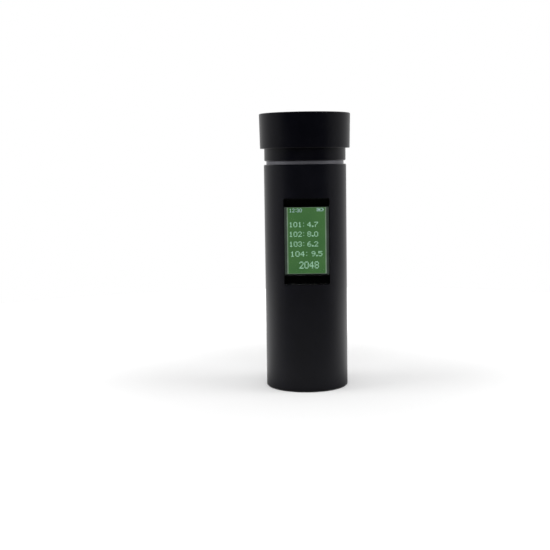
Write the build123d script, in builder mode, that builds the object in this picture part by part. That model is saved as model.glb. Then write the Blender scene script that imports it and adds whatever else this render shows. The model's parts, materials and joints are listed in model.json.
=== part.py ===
from build123d import *
import os
from math import cos, radians, sin, sqrt

# Handheld colour spectrophotometer, standing on its measuring end with its cap parked on top.
# Lengths are in millimetres. +Z runs up the tube, the display faces -Y, and the origin is the
# centre of the measuring face that the instrument stands on.

# Housing tube
body_diameter = 31.0
tube_wall = 0.7
tube_length = 82.8
tube_edge_chamfer = 0.3
lip_width = 0.2  # inward lip that holds the tube down on the guide collar
lip_height = 1.0

# Measuring base, the foot of the instrument
foot_thickness = 1.4
foot_chamfer = 0.5
spigot_height = 6.0
aperture_diameter = 8.0
chamber_height = 6.0
chamber_top_inset = 5.4  # from the tube bore in to the top of the measuring chamber
guide_wall = 1.35

# Display window and lens
window_width = 16.9
window_height = 31.9
window_inset = 12.3  # from the top of the tube down to the window
window_corner = 0.6
lens_side_gap = 0.05
lens_sink = 0.13  # lens face below the long edges of the window
lens_plate = 0.7
pad_rise = 0.4
pad_side_inset = 0.2
pad_end_inset = 2.35
pad_bevel = 0.3
tape_thickness = 0.1
tape_width = 0.4

# Display module and the bezel that carries it
view_side_border = 0.45  # lens beyond the view opening at each side
view_end_border = 3.15
bezel_web = 0.6
bezel_end = 5.0  # bezel below the window
panel_gap = 0.1
panel_step = 0.3
module_end_inset = 0.75  # the module is as wide as the lens, and shorter at each end
module_thickness = 1.4
module_drop = 0.5  # module centre below the window centre
module_gap = 0.1
bezel_rear_space = 1.0
bezel_screw_x = 6.0
bezel_screw_seat = 1.6  # plastic under each head
module_corner = 0.5
cable_relief = 1.0  # room beside the display tail
cable_relief_height = 4.0
cable_overlap = 5.0  # length of tail on the back of the module
cable_drop = 1.9  # tail below the battery

# Inner chassis
chassis_gap = 0.2
chassis_wall = 1.2
top_deck = 3.0
optics_deck = 1.5
crossbar = 3.0
rib_depth = 2.5
rib_reach = 2.4  # width of board that rests on each rib
rib_gap = 0.4  # from a rib to the battery, the radio and the switch cable
post_radius = 1.2
screw_end_gap = 0.5  # hole left beyond the tip of a screw

# Main board
board_front = 4.0  # behind the tube axis
board_thickness = 1.0
board_height = 43.0
board_lift = 20.6  # above the top of the measuring base
board_side_gap = 0.9
board_screw_inset_x = 1.3
board_screw_inset_z = 3.0
board_corner = 0.8
tail_connector_margin = 1.0  # connector beyond each edge of the display tail
tail_connector_height = 2.4
tail_connector_thickness = 1.2
tail_connector_lift = 1.6
tail_connector_bevel = 0.5
radio_width = 10.0
radio_height = 13.0
radio_board = 0.8
radio_can = 1.4
radio_can_margin = 0.6
radio_antenna = 3.4  # end of the module that the can leaves bare
radio_corner = 0.5
radio_inset = 1.5  # below the top of the main board

# Charging receptacle
port_height = 43.0
port_shell_length = 8.94
port_shell_width = 3.26
port_shell_wall = 0.3
port_recess = 0.6
port_slot_gap = 0.25
port_block = 0.9
tongue_length = 6.7
tongue_thickness = 0.7
tongue_recess = 0.7
tongue_bevel = 0.15

# Battery
battery_height = 27.0
battery_thickness = 7.0
battery_corner = 1.6
battery_lift = 13.5  # above the lower end of the main board
lead_radius = 0.4
lead_spacing = 1.4
lead_bend = 0.6
lead_slant = 0.8  # height over which a lead crosses to its plug
battery_seal = 1.2
plug_tail_gap = 0.5  # between the plug and the display tail
plug_width = 4.4
plug_height = 3.6
plug_depth = 3.2
plug_wall = 0.8
plug_recess = 0.4
plug_drop = 3.5  # below the battery

# Optics
glass_thickness = 1.2
glass_rim = 0.8
gasket_thickness = 0.5
gasket_width = 1.2
glass_bevel = 0.15
guide_height = 5.4
guide_barrel_gap = 0.6  # between the light guide and the barrel in it
guide_bevel = 2.0
led_height = 0.8
led_width = 1.6
led_length = 2.4
led_gap = 0.1
led_board_thickness = 0.8
led_board_bore = 12.0
led_shift = 0.1  # outward from the middle of the light guide
led_count = 8
barrel_diameter = 11.2
barrel_neck_diameter = 10.0
barrel_bore = 8.4
barrel_flange_inset = 1.4  # inside the wall around the light guide, clear of the emitter cable
barrel_flange = 1.5
barrel_reach = 5.8  # below the optics deck
barrel_height = 7.7  # above the optics deck
lens_bore_step = 0.6
lens_edge = 1.2
lens_bulge = 1.0
lens_land = 0.8
retainer_height = 2.0
retainer_slot_width = 0.8
retainer_slot_depth = 0.6
stop_diameter = 3.0
stop_thickness = 0.8
ear_length = 15.4
ear_width = 5.0
ear_height = 1.5
sensor_board_depth = 11.0
sensor_board_thickness = 1.0
sensor_board_corner = 1.0
sensor_screw_inset = 1.5
sensor_width = 4.5
sensor_depth = 3.2
sensor_height = 1.0

# Measuring button, its collar and its switch
button_gap = 1.3  # open groove between tube and button
button_step = 0.2  # button radius below the tube radius
button_height = 12.6
button_roof = 1.4
button_edge = 0.5
button_rim_chamfer = 0.3
button_travel = 1.0
running_gap = 0.08
slip_gap = 0.05
collar_depth = 7.1
collar_reach = 7.4
collar_foot_gap = 0.1
collar_foot_wall = 1.6
collar_wall = 2.4
guide_web = 2.0
stem_diameter = 5.0
stem_gap = 0.06
clip_thickness = 0.6
clip_reach = 1.7
clip_groove_depth = 0.5
clip_mouth = 3.5
clip_gap = 0.05
spring_diameter = 7.4
spring_wire = 0.5
spring_turns = 4
post_height = 3.5
post_inset = 4.1  # from the collar screws in to the posts under the switch board
switch_board_thickness = 1.0
switch_size = 6.0
switch_height = 3.4
switch_corner = 0.4
plunger_diameter = 3.2
plunger_length = 2.4
plunger_rise = 1.0
plunger_bevel = 0.2
contact_gap = 0.05

# Calibration cap
neck_height = 4.65  # button left bare under the cap
cap_height = 12.95
cap_clearance = 0.1
cap_wall = 1.25
cap_draft = 0.25
cap_roof = 1.6
cap_edge = 0.4
tile_diameter = 23.0
tile_thickness = 2.2
tile_gap = 0.05
tile_bevel = 0.2
retainer_lip = 0.8
retainer_lip_width = 2.5
spanner_hole_radius = 0.7
grip_ring_height = 2.3
grip_ring_lift = 2.2
grip_ring_depth = 0.4
grip_ring_gap = 0.05

# Screws
screw_radius = 0.8
screw_hole_gap = 0.1
head_radius = 1.5
head_height = 1.0
head_pocket_gap = 0.15
head_sink = 0.3  # heads below the measuring face
boss_wall = 0.9
socket_radius = 0.75
socket_depth = 0.5
small_screw_radius = 0.6
small_head_radius = 1.1
small_head_height = 0.8
base_screw_inset = 1.7  # from the tube bore in to the screws
base_screw_bite = 4.0
collar_screw_inset = 2.9  # from the outside of the collar foot in to the screws
collar_screw_bite = 2.6
boss_roof = 0.4
barrel_screw_inset = 1.8  # from the edge of the flange in to the screws
screw_angles = (90, 210, 330)

# Flat cables
cable_thickness = 0.2
cable_bend = 1.5
display_cable_width = 7.0
sensor_cable_width = 4.0
sensor_cable_bend = 1.0
sensor_cable_overlap = 3.0
led_cable_inset = 0.5  # inside the edge of the emitter board
led_cable_overlap = 2.0
switch_cable_width = 3.0
switch_cable_overlap = 5.0
cable_notch_gap = 0.5

# Radii and heights that follow from the sizes above
body_r = body_diameter / 2
bore_r = body_r - tube_wall
lip_r = bore_r - lip_width
tube_bottom = foot_thickness
tube_top = tube_bottom + tube_length
base_top = foot_thickness + spigot_height
chassis_r = bore_r - chassis_gap
chassis_inner_r = chassis_r - chassis_wall
chassis_top = tube_top - collar_depth
top_deck_bottom = chassis_top - top_deck

window_top = tube_top - window_inset
window_bottom = window_top - window_height
window_centre = (window_top + window_bottom) / 2
lens_width = window_width - 2 * lens_side_gap
lens_height = window_height - 2 * lens_side_gap
view_width = lens_width - 2 * view_side_border
view_height = lens_height - 2 * view_end_border
module_width = lens_width
module_height = lens_height - 2 * module_end_inset
lens_front = sqrt(body_r**2 - (window_width / 2) ** 2) - lens_sink
plate_front = lens_front - pad_rise
lens_back = plate_front - lens_plate
lens_seat = lens_back - tape_thickness
module_front = lens_seat - bezel_web
module_back = module_front - module_thickness
carrier_plane = module_back - bezel_rear_space
bezel_bottom = window_bottom - bezel_end
module_centre = window_centre - module_drop
module_bottom = module_centre - module_height / 2

board_back = board_front + board_thickness
board_bottom = base_top + board_lift
board_top = board_bottom + board_height
board_half = sqrt(chassis_inner_r**2 - board_back**2) - board_side_gap
battery_bottom = board_bottom + battery_lift
rib_inner_x = board_half - rib_reach
radio_x = rib_inner_x - rib_gap - radio_width / 2
switch_cable_x = rib_inner_x - rib_gap - switch_cable_width / 2
battery_width = 2 * (rib_inner_x - rib_gap)
battery_centre_y = board_front - battery_thickness / 2
plug_x = display_cable_width / 2 + plug_tail_gap + plug_width / 2
lead_root_x = battery_width / 2 - battery_corner - lead_spacing / 2 - lead_radius

chamber_top_r = bore_r - chamber_top_inset
glass_r = chamber_top_r + glass_rim
glass_top = chamber_height + glass_thickness
guide_bottom = glass_top + gasket_thickness
guide_top = guide_bottom + guide_height
guide_inner_r = barrel_diameter / 2 + guide_barrel_gap
led_circle_r = (guide_inner_r + glass_r) / 2 + led_shift
led_bottom = guide_top + led_gap
led_board_bottom = led_bottom + led_height
deck_bottom = led_board_bottom + led_board_thickness
deck_top = deck_bottom + optics_deck
guide_bore_r = glass_r + slip_gap
guide_wall_r = guide_bore_r + guide_wall
chassis_ring_r = guide_wall_r + chassis_gap
barrel_flange_r = guide_wall_r - barrel_flange_inset
barrel_screw_r = barrel_flange_r - barrel_screw_inset
base_screw_r = bore_r - base_screw_inset
barrel_bottom = deck_bottom - barrel_reach
barrel_top = deck_top + barrel_height
lens_bore_r = barrel_bore / 2 + lens_bore_step
lens_seat_height = barrel_bottom + retainer_height + lens_edge
sensor_board_top = barrel_top + sensor_board_thickness

button_r = body_r - button_step
button_bottom = tube_top + button_gap
button_top = button_bottom + button_height
button_ceiling = button_top - button_roof
collar_r = lip_r - slip_gap
collar_foot_r = bore_r - collar_foot_gap
collar_inner_r = collar_r - collar_wall
collar_screw_r = collar_foot_r - collar_screw_inset
post_place_r = collar_screw_r - post_inset
collar_top = tube_top + collar_reach
web_bottom = collar_top - guide_web
skirt_r = collar_r + running_gap
stem_r = stem_diameter / 2
clip_groove_r = stem_r - clip_groove_depth
clip_top = web_bottom - clip_gap
switch_board_bottom = chassis_top + post_height
switch_board_top = switch_board_bottom + switch_board_thickness
switch_board_r = collar_foot_r - collar_foot_wall - slip_gap
switch_top = switch_board_top + switch_height
plunger_top = switch_top + plunger_rise
plunger_bottom = plunger_top - plunger_length
stem_bottom = plunger_top + contact_gap

cap_rim = button_bottom + neck_height
cap_top = cap_rim + cap_height
cap_bore_r = body_r + cap_clearance
cap_rim_r = cap_bore_r + cap_wall
cap_top_r = cap_rim_r + cap_draft
cap_ceiling = cap_top - cap_roof
tile_r = tile_diameter / 2
tile_bottom = cap_ceiling - tile_thickness
retainer_bottom = tile_bottom - retainer_lip
grip_ring_bottom = cap_rim + grip_ring_lift


def front_plane(distance):
    """Plane at this distance in front of the axis, facing the front."""
    return Plane.XZ.offset(distance)


def rear_plane(distance):
    """Plane at this distance behind the axis, facing the rear, with its own Y up."""
    return Plane(origin=(0, distance, 0), x_dir=(-1, 0, 0), z_dir=(0, 1, 0))


def ring_planes(radius, height, facing):
    """One plane for each screw at this radius, facing up (1) or down (-1)."""
    return [
        Plane(
            origin=(radius * cos(radians(angle)), radius * sin(radians(angle)), height),
            z_dir=(0, 0, facing),
        )
        for angle in screw_angles
    ]


def socket_screws(places, shank, length, head, height):
    """Socket screws, each with its head standing on its plane and its shank below it."""
    with BuildPart() as screws:
        for place in places:
            with BuildSketch(place):
                Circle(shank)
            extrude(amount=-length)
            with BuildSketch(place):
                Circle(head)
            extrude(amount=height)
            with BuildSketch(place.offset(height)):
                RegularPolygon(head * socket_radius / head_radius, 6)
            extrude(amount=-height * socket_depth / head_height, mode=Mode.SUBTRACT)
    return screws


os.makedirs("parts", exist_ok=True)

# Housing tube: thin wall, inward lip at the top, window in front, port slot behind
with BuildPart() as housing_tube:
    with BuildSketch(Plane.XZ):
        with BuildLine():
            Polyline(
                (bore_r, tube_bottom),
                (body_r, tube_bottom),
                (body_r, tube_top - tube_edge_chamfer),
                (body_r - tube_edge_chamfer, tube_top),
                (lip_r, tube_top),
                (lip_r, tube_top - lip_height),
                (bore_r, tube_top - lip_height),
                close=True,
            )
        make_face()
    revolve(axis=Axis.Z)
    with BuildSketch(Plane.XZ):
        with Locations((0, window_centre)):
            RectangleRounded(window_width, window_height, window_corner)
    extrude(amount=body_diameter, mode=Mode.SUBTRACT)
    with BuildSketch(rear_plane(0)):
        with Locations((0, port_height)):
            SlotOverall(
                port_shell_length + 2 * port_slot_gap,
                port_shell_width + 2 * port_slot_gap,
                rotation=90,
            )
    extrude(amount=body_diameter, mode=Mode.SUBTRACT)
housing_tube.part.label = "housing_tube"
export_step(housing_tube.part, "parts/housing_tube.step")

# Display lens: a plate that fills the window, with a raised pad over the display
with BuildPart() as display_lens:
    with BuildSketch(front_plane(lens_back)):
        with Locations((0, window_centre)):
            RectangleRounded(lens_width, lens_height, window_corner - lens_side_gap)
    extrude(amount=lens_plate)
    with BuildSketch(front_plane(plate_front)):
        with Locations((0, window_centre)):
            Rectangle(lens_width - 2 * pad_side_inset, lens_height - 2 * pad_end_inset)
    extrude(amount=pad_rise)
    pad_face = display_lens.faces().sort_by(Axis.Y)[0]
    chamfer(pad_face.edges(), pad_bevel)
display_lens.part.label = "display_lens"
export_step(display_lens.part, "parts/display_lens.step")

# Adhesive frame between the lens and the bezel
with BuildPart() as lens_tape:
    with BuildSketch(front_plane(lens_seat)):
        with Locations((0, window_centre)):
            Rectangle(view_width + 2 * tape_width, view_height + 2 * tape_width + 2 * pad_end_inset)
            Rectangle(view_width, view_height, mode=Mode.SUBTRACT)
    extrude(amount=tape_thickness)
lens_tape.part.label = "lens_tape"
export_step(lens_tape.part, "parts/lens_tape.step")

# Screen bezel: follows the tube bore, with a flat seat for the lens and a pocket behind it
bezel_height = chassis_top - bezel_bottom
bezel_screw_heights = (
    bezel_bottom + crossbar / 2,
    chassis_top - top_deck / 2,
)
bezel_screw_face = carrier_plane + bezel_screw_seat
bezel_screw_places = [
    Plane(origin=(side * bezel_screw_x, -bezel_screw_face, height), z_dir=(0, -1, 0))
    for side in (-1, 1)
    for height in bezel_screw_heights
]
with BuildPart() as screen_bezel:
    with BuildSketch(Plane.XY.offset(bezel_bottom)):
        Circle(chassis_r)
        with Locations((0, -carrier_plane)):
            Rectangle(
                2 * chassis_r,
                chassis_r,
                align=(Align.CENTER, Align.MAX),
                mode=Mode.INTERSECT,
            )
    extrude(amount=bezel_height)
    with BuildSketch(front_plane(lens_seat)):
        with Locations((0, window_centre)):
            Rectangle(2 * chassis_r, window_height)
    extrude(amount=chassis_r, mode=Mode.SUBTRACT)
    with BuildSketch(front_plane(module_front)):
        with Locations((0, module_centre)):
            Rectangle(module_width + 2 * module_gap, module_height + 2 * module_gap)
    extrude(amount=-chassis_r, mode=Mode.SUBTRACT)
    with BuildSketch(front_plane(module_back)):
        with Locations((0, module_bottom)):
            Rectangle(display_cable_width + 2 * cable_relief, cable_relief_height)
    extrude(amount=-chassis_r, mode=Mode.SUBTRACT)
    with BuildSketch(Plane.XZ):
        with Locations((0, window_centre)):
            Rectangle(view_width, view_height)
    extrude(amount=chassis_r, mode=Mode.SUBTRACT)
    for place in bezel_screw_places:
        with BuildSketch(place):
            Circle(head_radius + head_pocket_gap)
        extrude(amount=chassis_r, mode=Mode.SUBTRACT)
        with BuildSketch(place):
            Circle(screw_radius + screw_hole_gap)
        extrude(amount=-chassis_r, mode=Mode.SUBTRACT)
screen_bezel.part.label = "screen_bezel"
export_step(screen_bezel.part, "parts/screen_bezel.step")

bezel_screws = socket_screws(
    bezel_screw_places,
    screw_radius,
    bezel_screw_seat + crossbar - screw_end_gap,
    head_radius,
    head_height,
)
bezel_screws.part.label = "bezel_screws"
export_step(bezel_screws.part, "parts/bezel_screws.step")

# Display module: backlight frame with the panel glass standing in the view opening
with BuildPart() as display_module:
    with BuildSketch(front_plane(module_back)):
        with Locations((0, module_centre)):
            RectangleRounded(module_width, module_height, module_corner)
    extrude(amount=module_thickness)
    with BuildSketch(front_plane(module_front)):
        with Locations((0, window_centre)):
            Rectangle(view_width - 2 * panel_gap, view_height - 2 * panel_gap)
    extrude(amount=panel_step)
display_module.part.label = "display_module"
export_step(display_module.part, "parts/display_module.step")

# Display tail: down the back of the module, back under the battery and into its connector
tail_connector_bottom = board_bottom + tail_connector_lift
tail_connector_top = tail_connector_bottom + tail_connector_height
tail_front = module_back - cable_thickness / 2
tail_rear = board_front - tail_connector_thickness / 2
tail_level = battery_bottom - cable_drop
with BuildPart() as display_flex:
    with BuildLine():
        tail_path = FilletPolyline(
            (0, -tail_front, module_bottom + cable_overlap),
            (0, -tail_front, tail_level),
            (0, tail_rear, tail_level),
            (0, tail_rear, tail_connector_top),
            radius=cable_bend,
        )
    with BuildSketch(Plane(tail_path @ 0, x_dir=(1, 0, 0), z_dir=tail_path % 0)):
        Rectangle(display_cable_width, cable_thickness)
    sweep()
display_flex.part.label = "display_flex"
export_step(display_flex.part, "parts/display_flex.step")

with BuildPart() as flex_connector:
    with BuildSketch(front_plane(-board_front)):
        with Locations((0, tail_connector_bottom + tail_connector_height / 2)):
            Rectangle(display_cable_width + 2 * tail_connector_margin, tail_connector_height)
    extrude(amount=tail_connector_thickness)
    latch_edge = flex_connector.edges().group_by(Axis.Y)[0].sort_by(Axis.Z)[0]
    chamfer(latch_edge, tail_connector_bevel)
flex_connector.part.label = "flex_connector"
export_step(flex_connector.part, "parts/flex_connector.step")

# Inner chassis: ring around the optics, open frame above it, decks at both ends
with BuildPart() as inner_chassis:
    with BuildSketch(Plane.XZ):
        with BuildLine():
            Polyline(
                (chassis_ring_r, base_top),
                (chassis_r, base_top),
                (chassis_r, chassis_top),
                (0, chassis_top),
                (0, top_deck_bottom),
                (chassis_inner_r, top_deck_bottom),
                (chassis_inner_r, deck_top),
                (led_board_bore / 2, deck_top),
                (led_board_bore / 2, deck_bottom),
                (chassis_ring_r, deck_bottom),
                close=True,
            )
        make_face()
    revolve(axis=Axis.Z)
    with BuildSketch(Plane.XY.offset(bezel_bottom)):
        with Locations((0, -carrier_plane)):
            Rectangle(2 * chassis_r, chassis_r, align=(Align.CENTER, Align.MAX))
    extrude(amount=bezel_height, mode=Mode.SUBTRACT)
    with BuildSketch(Plane.XY.offset(bezel_bottom)):
        with Locations((0, -carrier_plane)):
            Rectangle(2 * chassis_r, crossbar, align=(Align.CENTER, Align.MIN))
        Circle(chassis_inner_r + chassis_wall / 2, mode=Mode.INTERSECT)
    extrude(amount=crossbar)
    with BuildSketch(Plane.XY.offset(board_bottom)):
        with Locations((0, board_back + rib_depth / 2)):
            Rectangle(2 * chassis_r, rib_depth)
            Rectangle(2 * rib_inner_x, rib_depth, mode=Mode.SUBTRACT)
        Circle(chassis_inner_r + chassis_wall / 2, mode=Mode.INTERSECT)
    extrude(amount=board_height)
    with BuildSketch(Plane.XY.offset(chassis_top)):
        with PolarLocations(post_place_r, 3, start_angle=screw_angles[0]):
            Circle(post_radius)
    extrude(amount=post_height)
    with BuildSketch(rear_plane(0)):
        with Locations((0, port_height)):
            SlotOverall(
                port_shell_length + 4 * port_slot_gap,
                port_shell_width + 4 * port_slot_gap,
                rotation=90,
            )
    extrude(amount=body_diameter, mode=Mode.SUBTRACT)
    with BuildSketch(Plane.XY.offset(top_deck_bottom)):
        with PolarLocations(collar_screw_r, 3, start_angle=screw_angles[0]):
            Circle(screw_radius + screw_hole_gap)
        with Locations((switch_cable_x, board_back + cable_thickness / 2)):
            Rectangle(
                switch_cable_width + 2 * cable_notch_gap,
                cable_thickness + 2 * cable_notch_gap,
            )
    extrude(amount=top_deck, mode=Mode.SUBTRACT)
    with BuildSketch(Plane.XY.offset(deck_bottom)):
        with PolarLocations(barrel_screw_r, 3, start_angle=screw_angles[0]):
            Circle(screw_radius)
        with Locations((0, -guide_wall_r + led_cable_inset)):
            Rectangle(
                sensor_cable_width + 2 * cable_notch_gap,
                cable_thickness + 2 * cable_notch_gap,
            )
    extrude(amount=optics_deck, mode=Mode.SUBTRACT)
    with BuildSketch(Plane.XY.offset(base_top)):
        with PolarLocations(base_screw_r, 3, start_angle=screw_angles[0]):
            Circle(screw_radius)
    extrude(amount=base_screw_bite, mode=Mode.SUBTRACT)
    for place in bezel_screw_places:
        with BuildSketch(place):
            Circle(screw_radius)
        extrude(amount=-(bezel_screw_seat + crossbar), mode=Mode.SUBTRACT)
    board_screw_x = board_half - board_screw_inset_x
    board_screw_heights = (
        board_bottom + board_screw_inset_z,
        board_top - board_screw_inset_z / 2,
    )
    board_screw_places = [
        Plane(origin=(side * board_screw_x, board_front, height), z_dir=(0, -1, 0))
        for side in (-1, 1)
        for height in board_screw_heights
    ]
    for place in board_screw_places:
        with BuildSketch(place):
            Circle(small_screw_radius)
        extrude(amount=-(board_thickness + rib_depth), mode=Mode.SUBTRACT)
inner_chassis.part.label = "inner_chassis"
export_step(inner_chassis.part, "parts/inner_chassis.step")

# Main board on the two ribs of the chassis
with BuildPart() as main_board:
    with BuildSketch(front_plane(-board_back)):
        with Locations((0, board_bottom + board_height / 2)):
            RectangleRounded(2 * board_half, board_height, board_corner)
        for place in board_screw_places:
            with Locations((place.origin.X, place.origin.Z)):
                Circle(small_screw_radius + screw_hole_gap, mode=Mode.SUBTRACT)
    extrude(amount=board_thickness)
main_board.part.label = "main_board"
export_step(main_board.part, "parts/main_board.step")

board_screws = socket_screws(
    board_screw_places,
    small_screw_radius,
    board_thickness + rib_depth - screw_end_gap,
    small_head_radius,
    small_head_height,
)
board_screws.part.label = "board_screws"
export_step(board_screws.part, "parts/board_screws.step")

# Chips on the rear of the main board: across, up from its lower end, width, height, thickness
chips = (
    (-3.2, 6.4, 6.0, 6.0, 0.9),
    (4.2, 5.6, 4.0, 4.0, 0.8),
    (5.4, 22.0, 3.0, 4.4, 1.0),
    (-5.6, 21.6, 3.2, 2.5, 0.9),
)
with BuildPart() as board_chips:
    for across, up, width, height, thickness in chips:
        with BuildSketch(rear_plane(board_back)):
            with Locations((across, board_bottom + up)):
                Rectangle(width, height)
        extrude(amount=thickness)
board_chips.part.label = "board_chips"
export_step(board_chips.part, "parts/board_chips.step")

# Wireless module: small board with a shield can
radio_top = board_top - radio_inset
can_height = radio_height - radio_antenna - radio_can_margin
with BuildPart() as radio_module:
    with BuildSketch(rear_plane(board_back)):
        with Locations((radio_x, radio_top - radio_height / 2)):
            Rectangle(radio_width, radio_height)
    extrude(amount=radio_board)
    with BuildSketch(rear_plane(board_back + radio_board)):
        with Locations((radio_x, radio_top - radio_antenna - can_height / 2)):
            RectangleRounded(radio_width - 2 * radio_can_margin, can_height, radio_corner)
    extrude(amount=radio_can)
radio_module.part.label = "radio_module"
export_step(radio_module.part, "parts/radio_module.step")

# Charging receptacle: steel shell standing on the board, contact tongue inside
port_mouth = body_r - port_recess
with BuildPart() as usb_c_shell:
    with BuildSketch(rear_plane(board_back)):
        with Locations((0, port_height)):
            SlotOverall(port_shell_length, port_shell_width, rotation=90)
    extrude(amount=port_mouth - board_back)
    with BuildSketch(rear_plane(board_back + port_block)):
        with Locations((0, port_height)):
            SlotOverall(
                port_shell_length - 2 * port_shell_wall,
                port_shell_width - 2 * port_shell_wall,
                rotation=90,
            )
    extrude(amount=port_mouth, mode=Mode.SUBTRACT)
usb_c_shell.part.label = "usb_c_shell"
export_step(usb_c_shell.part, "parts/usb_c_shell.step")

with BuildPart() as usb_c_tongue:
    with BuildSketch(rear_plane(board_back + port_block)):
        with Locations((0, port_height)):
            Rectangle(tongue_thickness, tongue_length)
    extrude(amount=port_mouth - tongue_recess - board_back - port_block)
    tongue_tip = usb_c_tongue.faces().sort_by(Axis.Y)[-1]
    chamfer(tongue_tip.edges(), tongue_bevel)
usb_c_tongue.part.label = "usb_c_tongue"
export_step(usb_c_tongue.part, "parts/usb_c_tongue.step")

# Battery: pouch cell with its folded lower seal, two leads and their plug
plug_top = battery_bottom - plug_drop
with BuildPart() as battery_cell:
    with BuildSketch(Plane.XY.offset(battery_bottom + battery_seal)):
        with Locations((0, battery_centre_y)):
            RectangleRounded(battery_width, battery_thickness, battery_corner)
    extrude(amount=battery_height)
    with BuildSketch(Plane.XY.offset(battery_bottom)):
        with Locations((0, battery_centre_y)):
            Rectangle(battery_width - 2 * battery_corner, battery_thickness / 3)
    extrude(amount=battery_seal)
battery_cell.part.label = "battery_cell"
export_step(battery_cell.part, "parts/battery_cell.step")

lead_offsets = (-lead_spacing / 2, lead_spacing / 2)
plug_y = board_front - plug_depth / 2
lead_middle = (battery_bottom + plug_top) / 2
with BuildPart() as battery_leads:
    for offset_x in lead_offsets:
        root_x = offset_x - lead_root_x
        end_x = offset_x - plug_x
        with BuildLine():
            lead_path = FilletPolyline(
                (root_x, battery_centre_y, battery_bottom),
                (root_x, battery_centre_y, lead_middle + lead_slant / 2),
                (end_x, plug_y, lead_middle - lead_slant / 2),
                (end_x, plug_y, plug_top),
                radius=lead_bend,
            )
        with BuildSketch(Plane(lead_path @ 0, z_dir=lead_path % 0)):
            Circle(lead_radius)
        sweep()
battery_leads.part.label = "battery_leads"
export_step(battery_leads.part, "parts/battery_leads.step")

with BuildPart() as battery_connector:
    with BuildSketch(Plane.XY.offset(plug_top)):
        with Locations((-plug_x, plug_y)):
            Rectangle(plug_width, plug_depth)
    extrude(amount=-plug_height)
    with BuildSketch(front_plane(-board_front + plug_depth)):
        with Locations((-plug_x, plug_top - plug_height / 2)):
            Rectangle(plug_width - 2 * plug_wall, plug_height - 2 * plug_wall)
    extrude(amount=-plug_recess, mode=Mode.SUBTRACT)
battery_connector.part.label = "battery_connector"
export_step(battery_connector.part, "parts/battery_connector.step")

# Measuring base: foot, spigot for the tube, measuring chamber and the wall around the light guide
base_screw_places = ring_planes(base_screw_r, head_height + head_sink, -1)
with BuildPart() as measuring_base:
    with BuildSketch(Plane.XZ):
        with BuildLine():
            Polyline(
                (aperture_diameter / 2, 0),
                (body_r - foot_chamfer, 0),
                (body_r, foot_chamfer),
                (body_r, foot_thickness),
                (bore_r - slip_gap, foot_thickness),
                (bore_r - slip_gap, base_top),
                (guide_wall_r, base_top),
                (guide_wall_r, led_board_bottom),
                (guide_bore_r, led_board_bottom),
                (guide_bore_r, chamber_height),
                (chamber_top_r, chamber_height),
                close=True,
            )
        make_face()
    revolve(axis=Axis.Z)
    with Locations(base_screw_places):
        CounterBoreHole(
            radius=screw_radius + screw_hole_gap,
            counter_bore_radius=head_radius + head_pocket_gap,
            counter_bore_depth=0,
            depth=base_top,
        )
measuring_base.part.label = "measuring_base"
export_step(measuring_base.part, "parts/measuring_base.step")

base_screws = socket_screws(
    base_screw_places,
    screw_radius,
    base_top - head_height - head_sink + base_screw_bite - screw_end_gap,
    head_radius,
    head_height,
)
base_screws.part.label = "base_screws"
export_step(base_screws.part, "parts/base_screws.step")

# Window over the chamber, the gasket on it and the light guide on that
with BuildPart() as aperture_glass:
    with BuildSketch(Plane.XY.offset(chamber_height)):
        Circle(glass_r)
    extrude(amount=glass_thickness)
    chamfer(aperture_glass.edges(), glass_bevel)
aperture_glass.part.label = "aperture_glass"
export_step(aperture_glass.part, "parts/aperture_glass.step")

with BuildPart() as glass_gasket:
    with BuildSketch(Plane.XY.offset(glass_top)):
        Circle(glass_r)
        Circle(glass_r - gasket_width, mode=Mode.SUBTRACT)
    extrude(amount=gasket_thickness)
glass_gasket.part.label = "glass_gasket"
export_step(glass_gasket.part, "parts/glass_gasket.step")

with BuildPart() as light_guide_ring:
    with BuildSketch(Plane.XZ):
        with BuildLine():
            Polyline(
                (guide_inner_r + guide_bevel, guide_bottom),
                (glass_r, guide_bottom),
                (glass_r, guide_top),
                (guide_inner_r, guide_top),
                (guide_inner_r, guide_bottom + guide_bevel),
                close=True,
            )
        make_face()
    revolve(axis=Axis.Z)
light_guide_ring.part.label = "light_guide_ring"
export_step(light_guide_ring.part, "parts/light_guide_ring.step")

# Ring of emitters on its board, clamped between the measuring base and the chassis
with BuildPart() as led_board:
    with BuildSketch(Plane.XY.offset(led_board_bottom)):
        Circle(guide_wall_r + slip_gap)
        Circle(led_board_bore / 2, mode=Mode.SUBTRACT)
    extrude(amount=led_board_thickness)
led_board.part.label = "led_board"
export_step(led_board.part, "parts/led_board.step")

with BuildPart() as led_emitters:
    with BuildSketch(Plane.XY.offset(led_bottom)):
        with PolarLocations(led_circle_r, led_count):
            Rectangle(led_width, led_length)
    extrude(amount=led_height)
led_emitters.part.label = "led_emitters"
export_step(led_emitters.part, "parts/led_emitters.step")

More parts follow.
